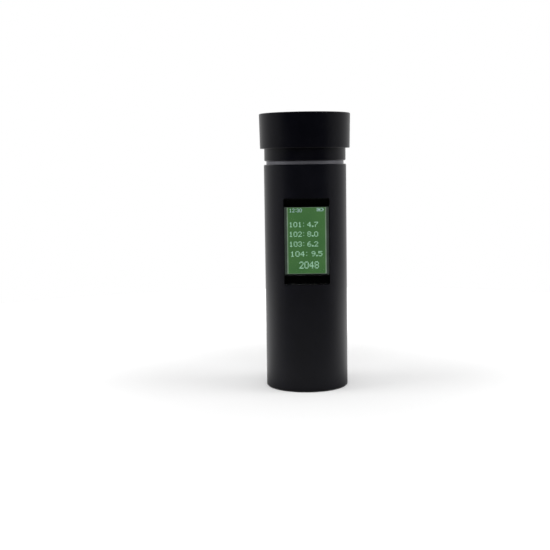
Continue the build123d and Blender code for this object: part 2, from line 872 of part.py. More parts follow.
# Viewing barrel: collimating lens below, stop in the middle, sensor board on its ears
stop_bottom = (deck_top + barrel_top) / 2
barrel_screw_places = ring_planes(barrel_screw_r, deck_top + barrel_flange, 1)
sensor_screw_x = ear_length / 2 - sensor_screw_inset
with BuildPart() as optics_barrel:
    with BuildSketch(Plane.XZ):
        with BuildLine():
            Polyline(
                (lens_bore_r, barrel_bottom),
                (barrel_diameter / 2, barrel_bottom),
                (barrel_diameter / 2, deck_top),
                (barrel_flange_r, deck_top),
                (barrel_flange_r, deck_top + barrel_flange),
                (barrel_neck_diameter / 2, deck_top + barrel_flange),
                (barrel_neck_diameter / 2, barrel_top),
                (barrel_bore / 2, barrel_top),
                (barrel_bore / 2, stop_bottom + stop_thickness),
                (stop_diameter / 2, stop_bottom + stop_thickness),
                (stop_diameter / 2, stop_bottom),
                (barrel_bore / 2, stop_bottom),
                (barrel_bore / 2, lens_seat_height),
                (lens_bore_r, lens_seat_height),
                close=True,
            )
        make_face()
    revolve(axis=Axis.Z)
    with BuildSketch(Plane.XY.offset(barrel_top - ear_height)):
        SlotOverall(ear_length, ear_width)
        Circle(barrel_bore / 2, mode=Mode.SUBTRACT)
        with Locations((sensor_screw_x, 0), (-sensor_screw_x, 0)):
            Circle(small_screw_radius, mode=Mode.SUBTRACT)
    extrude(amount=ear_height)
    for place in barrel_screw_places:
        with BuildSketch(place):
            Circle(screw_radius + screw_hole_gap)
        extrude(amount=-barrel_flange, mode=Mode.SUBTRACT)
optics_barrel.part.label = "optics_barrel"
export_step(optics_barrel.part, "parts/optics_barrel.step")

barrel_screws = socket_screws(
    barrel_screw_places,
    screw_radius,
    barrel_flange + optics_deck - slip_gap,
    head_radius,
    head_height,
)
barrel_screws.part.label = "barrel_screws"
export_step(barrel_screws.part, "parts/barrel_screws.step")

lens_r = lens_bore_r - slip_gap
with BuildPart() as collimating_lens:
    with BuildSketch(Plane.XZ):
        with BuildLine():
            Line((0, lens_seat_height), (lens_r, lens_seat_height))
            Line((lens_r, lens_seat_height), (lens_r, lens_seat_height - lens_edge))
            Line((lens_r, lens_seat_height - lens_edge), (lens_r - lens_land, lens_seat_height - lens_edge))
            TangentArc(
                (0, lens_seat_height - lens_edge - lens_bulge),
                (lens_r - lens_land, lens_seat_height - lens_edge),
                tangent=(1, 0),
            )
            Line((0, lens_seat_height - lens_edge - lens_bulge), (0, lens_seat_height))
        make_face()
    revolve(axis=Axis.Z)
collimating_lens.part.label = "collimating_lens"
export_step(collimating_lens.part, "parts/collimating_lens.step")

with BuildPart() as lens_retainer:
    with BuildSketch(Plane.XY.offset(barrel_bottom)):
        Circle(lens_bore_r)
        Circle(lens_r - lens_land, mode=Mode.SUBTRACT)
    extrude(amount=retainer_height)
    with BuildSketch(Plane.XY.offset(barrel_bottom)):
        Rectangle(2 * lens_bore_r, retainer_slot_width)
    extrude(amount=retainer_slot_depth, mode=Mode.SUBTRACT)
lens_retainer.part.label = "lens_retainer"
export_step(lens_retainer.part, "parts/lens_retainer.step")

# Sensor board with the spectral sensor looking down the barrel
with BuildPart() as sensor_board:
    with BuildSketch(Plane.XY.offset(barrel_top)):
        RectangleRounded(ear_length, sensor_board_depth, sensor_board_corner)
        with Locations((sensor_screw_x, 0), (-sensor_screw_x, 0)):
            Circle(small_screw_radius + screw_hole_gap, mode=Mode.SUBTRACT)
    extrude(amount=sensor_board_thickness)
sensor_board.part.label = "sensor_board"
export_step(sensor_board.part, "parts/sensor_board.step")

with BuildPart() as spectral_sensor:
    with BuildSketch(Plane.XY.offset(barrel_top)):
        Rectangle(sensor_width, sensor_depth)
    extrude(amount=-sensor_height)
spectral_sensor.part.label = "spectral_sensor"
export_step(spectral_sensor.part, "parts/spectral_sensor.step")

sensor_screw_places = [
    Plane(origin=(side * sensor_screw_x, 0, sensor_board_top)) for side in (-1, 1)
]
sensor_screws = socket_screws(
    sensor_screw_places,
    small_screw_radius,
    sensor_board_thickness + ear_height,
    small_head_radius,
    small_head_height,
)
sensor_screws.part.label = "sensor_screws"
export_step(sensor_screws.part, "parts/sensor_screws.step")

# Flat cables inside: sensor board to main board, emitters to sensor board, switch to main board
with BuildPart() as sensor_flex:
    with BuildLine():
        sensor_path = FilletPolyline(
            (0, board_front - sensor_cable_overlap / 2, sensor_board_top + cable_thickness / 2),
            (0, board_back + cable_thickness / 2, sensor_board_top + cable_thickness / 2),
            (0, board_back + cable_thickness / 2, board_bottom + sensor_cable_overlap),
            radius=sensor_cable_bend,
        )
    with BuildSketch(Plane(sensor_path @ 0, x_dir=(1, 0, 0), z_dir=sensor_path % 0)):
        Rectangle(sensor_cable_width, cable_thickness)
    sweep()
sensor_flex.part.label = "sensor_flex"
export_step(sensor_flex.part, "parts/sensor_flex.step")

led_cable_y = guide_wall_r - led_cable_inset
with BuildPart() as led_flex:
    with BuildLine():
        led_path = FilletPolyline(
            (0, -led_cable_y, deck_bottom),
            (0, -led_cable_y, sensor_board_top + cable_thickness / 2),
            (0, -sensor_board_depth / 2 + led_cable_overlap, sensor_board_top + cable_thickness / 2),
            radius=cable_bend,
        )
    with BuildSketch(Plane(led_path @ 0, x_dir=(1, 0, 0), z_dir=led_path % 0)):
        Rectangle(sensor_cable_width, cable_thickness)
    sweep()
led_flex.part.label = "led_flex"
export_step(led_flex.part, "parts/led_flex.step")

with BuildPart() as switch_cable:
    with BuildSketch(Plane.XY.offset(board_top - switch_cable_overlap)):
        with Locations((switch_cable_x, board_back)):
            Rectangle(switch_cable_width, cable_thickness, align=(Align.CENTER, Align.MIN))
    extrude(amount=switch_board_bottom - board_top + switch_cable_overlap)
switch_cable.part.label = "switch_cable"
export_step(switch_cable.part, "parts/switch_cable.step")

# Guide collar: foot inside the tube, sleeve that the button slides on, web that guides its stem
boss_height = collar_screw_bite + boss_roof
with BuildPart() as guide_collar:
    with BuildSketch(Plane.XZ):
        with BuildLine():
            Polyline(
                (collar_foot_r - collar_foot_wall, chassis_top),
                (collar_foot_r, chassis_top),
                (collar_foot_r, tube_top - lip_height),
                (collar_r, tube_top - lip_height),
                (collar_r, collar_top),
                (stem_r + stem_gap, collar_top),
                (stem_r + stem_gap, web_bottom),
                (collar_inner_r, web_bottom),
                (collar_inner_r, switch_board_top),
                (collar_foot_r - collar_foot_wall, switch_board_top),
                close=True,
            )
        make_face()
    revolve(axis=Axis.Z)
    with BuildSketch(Plane.XY.offset(chassis_top)):
        with PolarLocations(collar_screw_r, 3, start_angle=screw_angles[0]):
            Circle(screw_radius + boss_wall)
    extrude(amount=boss_height)
    with BuildSketch(Plane.XY.offset(chassis_top)):
        with PolarLocations(collar_screw_r, 3, start_angle=screw_angles[0]):
            Circle(screw_radius)
    extrude(amount=collar_screw_bite, mode=Mode.SUBTRACT)
guide_collar.part.label = "guide_collar"
export_step(guide_collar.part, "parts/guide_collar.step")

collar_screws = socket_screws(
    ring_planes(collar_screw_r, top_deck_bottom, -1),
    screw_radius,
    top_deck + collar_screw_bite,
    head_radius,
    head_height,
)
collar_screws.part.label = "collar_screws"
export_step(collar_screws.part, "parts/collar_screws.step")

# Switch under the button, clamped between the chassis posts and the collar
with BuildPart() as switch_board:
    with BuildSketch(Plane.XY.offset(switch_board_bottom)):
        Circle(switch_board_r)
    extrude(amount=switch_board_thickness)
switch_board.part.label = "switch_board"
export_step(switch_board.part, "parts/switch_board.step")

plunger_r = plunger_diameter / 2
with BuildPart() as switch_body:
    with BuildSketch(Plane.XY.offset(switch_board_top)):
        RectangleRounded(switch_size, switch_size, switch_corner)
    extrude(amount=switch_height)
    with BuildSketch(Plane.XY.offset(plunger_bottom - button_travel - contact_gap)):
        Circle(plunger_r + slip_gap)
    extrude(amount=switch_height, mode=Mode.SUBTRACT)
switch_body.part.label = "switch_body"
export_step(switch_body.part, "parts/switch_body.step")

with BuildPart() as switch_plunger:
    with BuildSketch(Plane.XY.offset(plunger_bottom)):
        Circle(plunger_r)
    extrude(amount=plunger_length)
    plunger_face = switch_plunger.faces().sort_by(Axis.Z)[-1]
    chamfer(plunger_face.edges(), plunger_bevel)
switch_plunger.part.label = "switch_plunger"
export_step(switch_plunger.part, "parts/switch_plunger.step")

# Return spring between the collar's web and the button's roof
spring_height = button_ceiling - collar_top - spring_wire
with BuildPart() as button_spring:
    with BuildLine():
        coil = Helix(
            pitch=spring_height / spring_turns,
            height=spring_height,
            radius=spring_diameter / 2,
            center=(0, 0, collar_top + spring_wire / 2),
        )
    with BuildSketch(Plane(coil @ 0, z_dir=coil % 0)):
        Circle(spring_wire / 2)
    sweep(is_frenet=True)
button_spring.part.label = "button_spring"
export_step(button_spring.part, "parts/button_spring.step")

# Measuring button: roof, skirt around the collar, and a grooved stem down to the switch
with BuildPart() as measure_button:
    with BuildSketch(Plane.XZ):
        with BuildLine():
            Polyline(
                (0, stem_bottom),
                (stem_r, stem_bottom),
                (stem_r, clip_top - clip_thickness),
                (clip_groove_r, clip_top - clip_thickness),
                (clip_groove_r, clip_top),
                (stem_r, clip_top),
                (stem_r, button_ceiling),
                (skirt_r, button_ceiling),
                (skirt_r, button_bottom),
                (button_r - button_rim_chamfer, button_bottom),
                (button_r, button_bottom + button_rim_chamfer),
                (button_r, button_top - button_edge),
                (button_r - button_edge, button_top),
                (0, button_top),
                close=True,
            )
        make_face()
    revolve(axis=Axis.Z)
measure_button.part.label = "measure_button"
export_step(measure_button.part, "parts/measure_button.step")

clip_r = stem_r + clip_reach
with BuildPart() as stem_clip:
    with BuildSketch(Plane.XY.offset(clip_top - clip_thickness)):
        Circle(clip_r)
        Circle(clip_groove_r, mode=Mode.SUBTRACT)
        with Locations((0, -clip_r)):
            Rectangle(clip_mouth, 2 * clip_r, mode=Mode.SUBTRACT)
    extrude(amount=clip_thickness)
stem_clip.part.label = "stem_clip"
export_step(stem_clip.part, "parts/stem_clip.step")

# Calibration cap: drafted shell with a groove for the grip ring
groove_r = cap_bore_r + grip_ring_depth
groove_top = grip_ring_bottom + grip_ring_height
with BuildPart() as cap_shell:
    with BuildSketch(Plane.XZ):
        with BuildLine():
            Polyline(
                (cap_bore_r, cap_rim),
                (cap_rim_r, cap_rim),
                (cap_top_r, cap_top),
                (0, cap_top),
                (0, cap_ceiling),
                (cap_bore_r, cap_ceiling),
                (cap_bore_r, groove_top),
                (groove_r, groove_top),
                (groove_r, grip_ring_bottom),
                (cap_bore_r, grip_ring_bottom),
                close=True,
            )
        make_face()
    revolve(axis=Axis.Z)
    top_edge = cap_shell.edges().filter_by(GeomType.CIRCLE).sort_by(Axis.Z)[-1]
    fillet(top_edge, cap_edge)
    rim_edges = cap_shell.edges().filter_by(GeomType.CIRCLE).group_by(Axis.Z)[0]
    fillet(rim_edges, cap_edge / 2)
cap_shell.part.label = "cap_shell"
export_step(cap_shell.part, "parts/cap_shell.step")

with BuildPart() as calibration_tile:
    with BuildSketch(Plane.XY.offset(tile_bottom)):
        Circle(tile_r)
    extrude(amount=tile_thickness)
    tile_rim = calibration_tile.faces().sort_by(Axis.Z)[0].edges()
    chamfer(tile_rim, tile_bevel)
calibration_tile.part.label = "calibration_tile"
export_step(calibration_tile.part, "parts/calibration_tile.step")

with BuildPart() as tile_retainer:
    with BuildSketch(Plane.XZ):
        with BuildLine():
            Polyline(
                (tile_r - retainer_lip_width, retainer_bottom),
                (cap_bore_r, retainer_bottom),
                (cap_bore_r, cap_ceiling),
                (tile_r + tile_gap, cap_ceiling),
                (tile_r + tile_gap, tile_bottom),
                (tile_r - retainer_lip_width + retainer_lip, tile_bottom),
                close=True,
            )
        make_face()
    revolve(axis=Axis.Z)
    with BuildSketch(Plane.XY.offset(retainer_bottom)):
        with PolarLocations((tile_r + cap_bore_r) / 2, 2):
            Circle(spanner_hole_radius)
    extrude(amount=retainer_lip, mode=Mode.SUBTRACT)
tile_retainer.part.label = "tile_retainer"
export_step(tile_retainer.part, "parts/tile_retainer.step")

# Soft ring in the cap's groove that grips the button or the foot of the tube
grip_inner_r = button_r + grip_ring_gap
grip_waist = (groove_r - grip_inner_r) / 2
with BuildPart() as cap_grip_ring:
    with BuildSketch(Plane.XZ):
        with BuildLine():
            Polyline(
                (groove_r, grip_ring_bottom),
                (groove_r, groove_top),
                (cap_bore_r, groove_top),
                (grip_inner_r, groove_top - grip_waist),
                (grip_inner_r, grip_ring_bottom + grip_waist),
                (cap_bore_r, grip_ring_bottom),
                close=True,
            )
        make_face()
    revolve(axis=Axis.Z)
cap_grip_ring.part.label = "cap_grip_ring"
export_step(cap_grip_ring.part, "parts/cap_grip_ring.step")
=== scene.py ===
"""Colour spectrophotometer: a black tube with a lit display, a push button and a parked cap.

The frame gives the construction. This script dresses every node of it, adds the lit display with
its figures and the small parts on the boards, and sets up the floor, the lamps and the camera.
Sizes are in millimetres and are turned to metres where they meet a mesh.
"""

import json
import logging
from collections.abc import Callable, Iterable
from dataclasses import dataclass
from enum import Enum
from math import cos, pi, radians, sin

import bpy
from mathutils import Matrix, Vector

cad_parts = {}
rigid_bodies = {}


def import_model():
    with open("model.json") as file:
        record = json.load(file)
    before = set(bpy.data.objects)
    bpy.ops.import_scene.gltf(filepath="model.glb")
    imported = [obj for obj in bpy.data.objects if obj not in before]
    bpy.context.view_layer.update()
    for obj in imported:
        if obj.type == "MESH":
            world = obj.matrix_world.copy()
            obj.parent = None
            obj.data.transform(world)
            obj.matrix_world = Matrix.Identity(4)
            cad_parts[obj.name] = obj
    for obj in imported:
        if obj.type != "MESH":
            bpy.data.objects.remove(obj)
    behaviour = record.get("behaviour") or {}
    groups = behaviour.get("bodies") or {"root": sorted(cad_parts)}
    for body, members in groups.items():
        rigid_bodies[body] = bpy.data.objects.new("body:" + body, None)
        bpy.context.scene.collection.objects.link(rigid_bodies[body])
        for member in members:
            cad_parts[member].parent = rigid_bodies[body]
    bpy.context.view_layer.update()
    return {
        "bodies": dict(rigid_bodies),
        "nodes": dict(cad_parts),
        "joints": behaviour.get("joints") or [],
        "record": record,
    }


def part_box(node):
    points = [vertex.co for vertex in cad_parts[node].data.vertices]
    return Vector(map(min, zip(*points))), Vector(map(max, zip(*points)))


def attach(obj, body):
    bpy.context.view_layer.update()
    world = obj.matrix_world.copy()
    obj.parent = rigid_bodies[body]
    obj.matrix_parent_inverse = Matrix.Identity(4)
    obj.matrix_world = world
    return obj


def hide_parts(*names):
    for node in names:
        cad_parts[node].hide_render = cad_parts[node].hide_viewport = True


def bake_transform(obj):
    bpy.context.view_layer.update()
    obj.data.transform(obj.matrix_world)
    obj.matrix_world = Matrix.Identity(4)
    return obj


# Short names for what the type hints name most. In a node tree, a node stands for its first output.
Node = bpy.types.Node
Source = bpy.types.Node | bpy.types.NodeSocket
Tree = bpy.types.NodeTree
Piece = bpy.types.Object
Pair = tuple[float, float]
Triple = tuple[float, float, float]

MM = 0.001
CREASE = radians(40)  # edges sharper than this stay sharp on a piece that is shaded smooth
NOISE_REACH = (0.2, 0.8)  # noise hardly leaves these values
log = logging.getLogger("spectrophotometer")


class Axis(Enum):
    """An axis of the object, by the name that nodes and modifiers have for it."""

    ACROSS = "X"
    DEEP = "Y"
    UP = "Z"


def linear(colour: str) -> tuple[float, float, float, float]:
    """Turn an sRGB hex value into linear light.

    Args:
        colour: the value as "#rrggbb".

    Returns:
        Red, green, blue and an alpha of 1.
    """
    parts = [int(colour[place : place + 2], 16) / 255 for place in (1, 3, 5)]
    light = [part / 12.92 if part <= 0.04045 else ((part + 0.055) / 1.055) ** 2.4 for part in parts]
    return light[0], light[1], light[2], 1.0


def add_node(tree: Tree, kind: str, inputs: dict | None = None, **settings) -> Node:
    """Add one node, set it up and link it.

    Args:
        tree: the node tree that takes it.
        kind: the node's type.
        inputs: a socket's name or number, with a plain value, or with the output or the node to
            link to it. Of a node, the first output in use is linked.
        settings: the node's own properties.

    Returns:
        The new node.
    """
    node = tree.nodes.new(kind)
    for name, value in settings.items():
        setattr(node, name, value)
    for name, value in (inputs or {}).items():
        if isinstance(value, bpy.types.Node):
            value = next(output for output in value.outputs if output.enabled)
        if isinstance(value, bpy.types.NodeSocket):
            tree.links.new(value, node.inputs[name])
        else:
            node.inputs[name].default_value = value
    return node


def object_place(tree: Tree, stretch: Triple = (1, 1, 1)) -> Node:
    """Give the place on the object that a pattern follows.

    Args:
        tree: the material's node tree.
        stretch: how much denser the pattern is along X, Y and Z.

    Returns:
        The node with that place.
    """
    place = add_node(tree, "ShaderNodeTexCoord").outputs["Object"]
    return add_node(tree, "ShaderNodeMapping", {"Vector": place, "Scale": stretch})


def patches(
    tree: Tree,
    size: float,
    low: float = 0.0,
    high: float = 1.0,
    stretch: Triple = (1, 1, 1),
    depth: float = 2.0,
) -> Node:
    """Give an uneven pattern with patches of one size.

    Args:
        tree: the material's node tree.
        size: width of a patch, in millimetres.
        low: value in the troughs.
        high: value on the crests.
        stretch: how much denser the pattern is along X, Y and Z.
        depth: how many finer layers lie on the patches.

    Returns:
        The node with the value.
    """
    place = object_place(tree, stretch)
    pattern = {"Vector": place, "Scale": 1 / (size * MM), "Detail": depth}
    cloud = add_node(tree, "ShaderNodeTexNoise", pattern)
    first, last = NOISE_REACH
    spread = {"Value": cloud, "From Min": first, "From Max": last, "To Min": low, "To Max": high}
    return add_node(tree, "ShaderNodeMapRange", spread, interpolation_type="SMOOTHSTEP")


@dataclass(frozen=True)
class Finish:
    """What all finishes share: a real material's name, and one Blender material made from it."""

    name: str

    def shade(self, tree: Tree) -> Node:
        """Build the shader; each finish has its own."""
        raise NotImplementedError

    def material(self) -> bpy.types.Material:
        """Build the material the first time and hand it out again after that.

        Returns:
            The material.
        """
        made = bpy.data.materials.get(self.name)
        if made is None:
            made = bpy.data.materials.new(self.name)
            made.use_nodes = True
            made.node_tree.nodes.clear()
            shader = self.shade(made.node_tree)
            add_node(made.node_tree, "ShaderNodeOutputMaterial", {"Surface": shader})
        return made

    def apply(self, piece: Piece) -> None:
        """Put the material on a piece, in each of its slots.

        Args:
            piece: the piece.
        """
        if not piece.material_slots:
            piece.data.materials.append(self.material())
        for place in piece.material_slots:
            place.material = self.material()


@dataclass(frozen=True, kw_only=True)
class TwoTone(Finish):
    """A surface of two near tones, with an uneven gloss and a fine relief.

    Args:
        deep: the darker tone.
        pale: the lighter tone.
        patch: size of the patches of tone, in millimetres.
        layers: how many finer layers lie on them.
        roughness: middle value of the roughness.
        swing: how far the roughness goes up and down from there.
        spread: size of the patches of gloss, in patches of tone.
        stretch: how much denser the patches are along X, Y and Z.
        relief: real depth of the relief, in millimetres.
        metallic: 1 for bare metal.
        ior: index of refraction.
    """

    deep: str
    pale: str
    patch: float
    layers: float = 2.0
    roughness: float
    swing: float = 0.08
    spread: float = 1.0
    stretch: Triple = (1, 1, 1)
    relief: float
    metallic: float = 0.0
    ior: float = 1.5

    def tone(self, tree: Tree) -> Source:
        """Give 0 where the deep tone is, and 1 where the pale one is."""
        return patches(tree, self.patch, stretch=self.stretch, depth=self.layers)

    def gloss(self, tree: Tree) -> Source:
        """Give the roughness."""
        low, high = self.roughness - self.swing, self.roughness + self.swing
        return patches(tree, self.patch * self.spread, low, high, self.stretch)

    def height(self, tree: Tree, tone: Source) -> Source:
        """Give 0 in the troughs and 1 on the crests, which are pale unless a kind of surface differs."""
        return tone

    def shade(self, tree: Tree) -> Node:
        """Blend the tones, vary the gloss and raise the relief.

        Args:
            tree: the material's node tree.

        Returns:
            The shader.
        """
        tone = self.tone(tree)
        tones = {0: tone, 6: linear(self.deep), 7: linear(self.pale)}
        raised = {"Height": self.height(tree, tone), "Distance": self.relief * MM}
        return add_node(
            tree,
            "ShaderNodeBsdfPrincipled",
            {
                "Base Color": add_node(tree, "ShaderNodeMix", tones, data_type="RGBA"),
                "Metallic": self.metallic,
                "Roughness": self.gloss(tree),
                "IOR": self.ior,
                "Normal": add_node(tree, "ShaderNodeBump", raised),
            },
        )


@dataclass(frozen=True, kw_only=True)
class SatinBlack(TwoTone):
    """Black satin surface of the shell: fine even grain, and faint smudges from handling.

    The grain is what blasting or a textured mould leaves. It spreads the reflection of the room
    into soft bands along the sides of the tube.
    """

    deep: str = "#07070d"
    pale: str = "#0a0a11"
    patch: float = 7.0
    layers: float = 4.0
    # The roughness stays above 0.275, below which the edges of smudges show as marks on the tube.
    roughness: float = 0.3
    swing: float = 0.02
    spread: float = 2.0
    relief: float = 0.004
    ior: float = 1.48
    # Real grain of 0.03 to 0.05 mm is finer than a pixel, so it is drawn coarser.
    grain: float = 0.22

    def height(self, tree: Tree, tone: Source) -> Source:
        """Raise the grain."""
        return patches(tree, self.grain, depth=1.0)


@dataclass(frozen=True, kw_only=True)
class Moulded(TwoTone):
    """Moulded or cast plastic, rubber and the like, with slightly uneven colour and gloss."""

    patch: float = 3.0
    layers: float = 3.0
    roughness: float = 0.45
    spread: float = 1.5
    relief: float = 0.006
    grain: float = 0.15

    def height(self, tree: Tree, tone: Source) -> Source:
        """Raise the grain of the mould."""
        return patches(tree, self.grain)


@dataclass(frozen=True, kw_only=True)
class Turned(TwoTone):
    """Plastic turned on a lathe: fine rings round the axis that catch light as thin lines."""

    patch: float = 0.5
    roughness: float = 0.34
    swing: float = 0.06
    stretch: Triple = (0.1, 0.1, 3.0)
    relief: float = 0.003
    cloud: float = 4.0
    # Tool marks of 0.05 mm are too fine to show, so the rings are drawn at twice that or more.
    pitch: float = 0.12
    wobble: float = 0.6

    def tone(self, tree: Tree) -> Source:
        """Mottle the colour in clouds, while the gloss varies from ring to ring."""
        return patches(tree, self.cloud)

    def height(self, tree: Tree, tone: Source) -> Source:
        """Lay tool rings one above the other.

        Args:
            tree: the material's node tree.
            tone: not used, because the rings don't follow the colour.

        Returns:
            The rings' height.
        """
        place = object_place(tree)
        rings = {"Vector": place, "Scale": 1 / (self.pitch * MM * 2 * pi), "Distortion": self.wobble}
        return add_node(tree, "ShaderNodeTexWave", rings, bands_direction=Axis.UP.value).outputs["Fac"]


@dataclass(frozen=True, kw_only=True)
class Metal(TwoTone):
    """Bare metal, with the fine lines that rolling, drawing or turning leaves in it."""

    # Real lines are a few hundredths of a millimetre wide, and are drawn coarser so they show.
    patch: float = 0.18
    layers: float = 3.0
    roughness: float = 0.28
    swing: float = 0.1
    spread: float = 2.0
    stretch: Triple = (1.0, 1.0, 0.06)
    relief: float = 0.003
    metallic: float = 1.0


@dataclass(frozen=True, kw_only=True)
class SolderMask(TwoTone):
    """Circuit board: glossy green mask that is darker between the copper tracks under it."""

    deep: str = "#0c4a2a"
    pale: str = "#1a6b3d"
    patch: float = 5.0
    roughness: float = 0.3
    relief: float = 0.03
    # The gap between two tracks and the length of a track are in pitches.
    pitch: float = 0.6
    gap: float = 0.16
    run: float = 9.0
    shift: float = 0.37
    broken: float = 2.2

    def tone(self, tree: Tree) -> Source:
        """Run tracks across the board, broken by vias and gaps.

        Args:
            tree: the material's node tree.

        Returns:
            0 for the bare board and 1 over copper.
        """
        tracks = add_node(
            tree,
            "ShaderNodeTexBrick",
            {
                "Vector": object_place(tree),
                "Color1": linear("#ffffff"),
                "Color2": linear("#e0e0e0"),
                "Mortar": linear("#000000"),
                "Scale": 1.0,
                "Mortar Size": self.pitch * MM * self.gap,
                "Mortar Smooth": 0.2,
                "Brick Width": self.pitch * MM * self.run,
                "Row Height": self.pitch * MM,
            },
            offset=self.shift,
        )
        left = patches(tree, self.broken, depth=0.0)
        return add_node(tree, "ShaderNodeMath", {0: tracks, 1: left}, operation="MULTIPLY")


@dataclass(frozen=True, kw_only=True)
class FlatCable(TwoTone):
    """Polyimide flat cable: amber film with copper tracks side by side in it."""

    deep: str = "#a5601c"
    pale: str = "#c98a3a"
    patch: float = 2.0
    roughness: float = 0.3
    relief: float = 0.02
    pitch: float = 0.5

    def tone(self, tree: Tree) -> Source:
        """Run the tracks along the cable, as bands across its width."""
        bands = {"Vector": object_place(tree), "Scale": 1 / (self.pitch * MM * 2)}
        return add_node(tree, "ShaderNodeTexWave", bands, bands_direction=Axis.ACROSS.value).outputs["Fac"]


@dataclass(frozen=True, kw_only=True)
class Glazed(TwoTone):
    """Glazed ceramic: white matte body under a clear gloss, with a faint orange-peel."""

    deep: str = "#eceae4"
    pale: str = "#f3f1ec"
    patch: float = 5.0
    layers: float = 4.0
    roughness: float = 0.34
    swing: float = 0.06
    spread: float = 0.5
    relief: float = 0.004
    peel: float = 1.4
    coat: float = 0.8
    coat_roughness: float = 0.04

    def height(self, tree: Tree, tone: Source) -> Source:
        """Raise the orange-peel."""
        return patches(tree, self.peel)

    def shade(self, tree: Tree) -> Node:
        """Put a clear coat on the body.

        Args:
            tree: the material's node tree.

        Returns:
            The shader.
        """
        shader = super().shade(tree)
        shader.inputs["Coat Weight"].default_value = self.coat
        shader.inputs["Coat Roughness"].default_value = self.coat_roughness
        return shader


@dataclass(frozen=True, kw_only=True)
class FoilLaminate(TwoTone):
    """Pouch of aluminium laminate: dull silver and slightly dented over the cell, with painted shade in the
    dents, whose colour is greyer where the relief is low.
    """

    # The deep tone is painted shade: it lies in the dents, because the relief follows the tone.
    deep: str = "#9a9da3"
    pale: str = "#b9bcc0"
    patch: float = 4.5
    layers: float = 3.0
    roughness: float = 0.41
    swing: float = 0.09
    spread: float = 1 / 3
    relief: float = 0.12
    metallic: float = 0.9


@dataclass(frozen=True, kw_only=True)
class Clear(Finish):
    """Acrylic or glass: see-through, polished, with a trace of haze where it has been wiped."""

    tint: str = "#f6faf9"
    ior: float = 1.49
    haze: float = 0.04
    wipe: float = 6.0
    wipe_stretch: Triple = (1.0, 1.0, 0.25)

    def shade(self, tree: Tree) -> Node:
        """Let light through and vary the polish a little along the wiping direction."""
        return add_node(
            tree,
            "ShaderNodeBsdfPrincipled",
            {
                "Base Color": linear(self.tint),
                "Roughness": patches(tree, self.wipe, 0.0, self.haze, self.wipe_stretch),
                "IOR": self.ior,
                "Transmission Weight": 1.0,
            },
        )


@dataclass(frozen=True, kw_only=True)
class Lit(Finish):
    """A surface that glows by itself: its colour is light, on a dark ground that mirrors nothing."""

    ground: str
    roughness: float

    def light(self, tree: Tree) -> Source:
        """Give the colour of the light."""
        raise NotImplementedError

    def shade(self, tree: Tree) -> Node:
        """Let the surface glow."""
        return add_node(
            tree,
            "ShaderNodeBsdfPrincipled",
            {
                "Base Color": linear(self.ground),
                "Roughness": self.roughness,
                "Specular IOR Level": 0.0,
                "Emission Color": self.light(tree),
                "Emission Strength": 1.0,
            },
        )


@dataclass(frozen=True, kw_only=True)
class LitPanel(Lit):
    """Lit display: green pixels in a fine grid, a little uneven in brightness."""

    ground: str = "#060906"
    roughness: float = 0.35
    dim: str = "#446d40"
    bright: str = "#4e7745"
    gap: str = "#365b33"
    patch: float = 9.0
    pixel: float = 0.21
    # A wave swings once per pixel, and the gap is where it is higher than this.
    gap_level: float = 0.72

    def light(self, tree: Tree) -> Source:
        """Light the pixels unevenly and leave darker lines between them.

        Args:
            tree: the material's node tree.

        Returns:
            The colour of the light.
        """
        axes = add_node(tree, "ShaderNodeSeparateXYZ", {"Vector": object_place(tree)})
        tones = {0: patches(tree, self.patch, depth=1.0), 6: linear(self.dim), 7: linear(self.bright)}
        lit = add_node(tree, "ShaderNodeMix", tones, data_type="RGBA")
        lines = []
        for axis in (Axis.ACROSS, Axis.UP):
            along = {0: axes.outputs[axis.value], 1: 2 * pi / (self.pixel * MM)}
            counted = add_node(tree, "ShaderNodeMath", along, operation="MULTIPLY")
            swing = add_node(tree, "ShaderNodeMath", {0: counted}, operation="COSINE")
            lines.append(add_node(tree, "ShaderNodeMapRange", {"Value": swing, "From Min": self.gap_level}))
        grid = add_node(tree, "ShaderNodeMath", dict(enumerate(lines)), operation="MAXIMUM")
        return add_node(tree, "ShaderNodeMix", {0: grid, 6: lit, 7: linear(self.gap)}, data_type="RGBA")


@dataclass(frozen=True, kw_only=True)
class Glowing(Lit):
    """Light without a grid: lit pixels of the figures, the panel's edge and the light beside it."""

    ground: str = "#101210"
    roughness: float = 0.4
    bright: str
    dim: str
    patch: float = 0.5

    def light(self, tree: Tree) -> Source:
        """Let the glow vary a little from patch to patch."""
        glow = {0: patches(tree, self.patch, depth=0.0), 6: linear(self.dim), 7: linear(self.bright)}
        return add_node(tree, "ShaderNodeMix", glow, data_type="RGBA")


# The shell: tube, cap and button look alike, deep black with soft pale bands along their sides.
ANODISED = SatinBlack("anodised_aluminium_black")
TEXTURED_ABS = SatinBlack(
    "textured_abs_black", deep="#030309", pale="#06060c", roughness=0.32, grain=0.3, relief=0.006
)
# The collar in the groove shows as one thin grey line.
ACETAL = Turned("turned_acetal_grey", deep="#525257", pale="#5a5a60")
# Clear parts are polished, so the eye sees what is behind them and only a trace of haze.
ACRYLIC = Clear("polished_acrylic")
GLASS = Clear("float_glass", tint="#f3faf7", ior=1.52, haze=0.02)
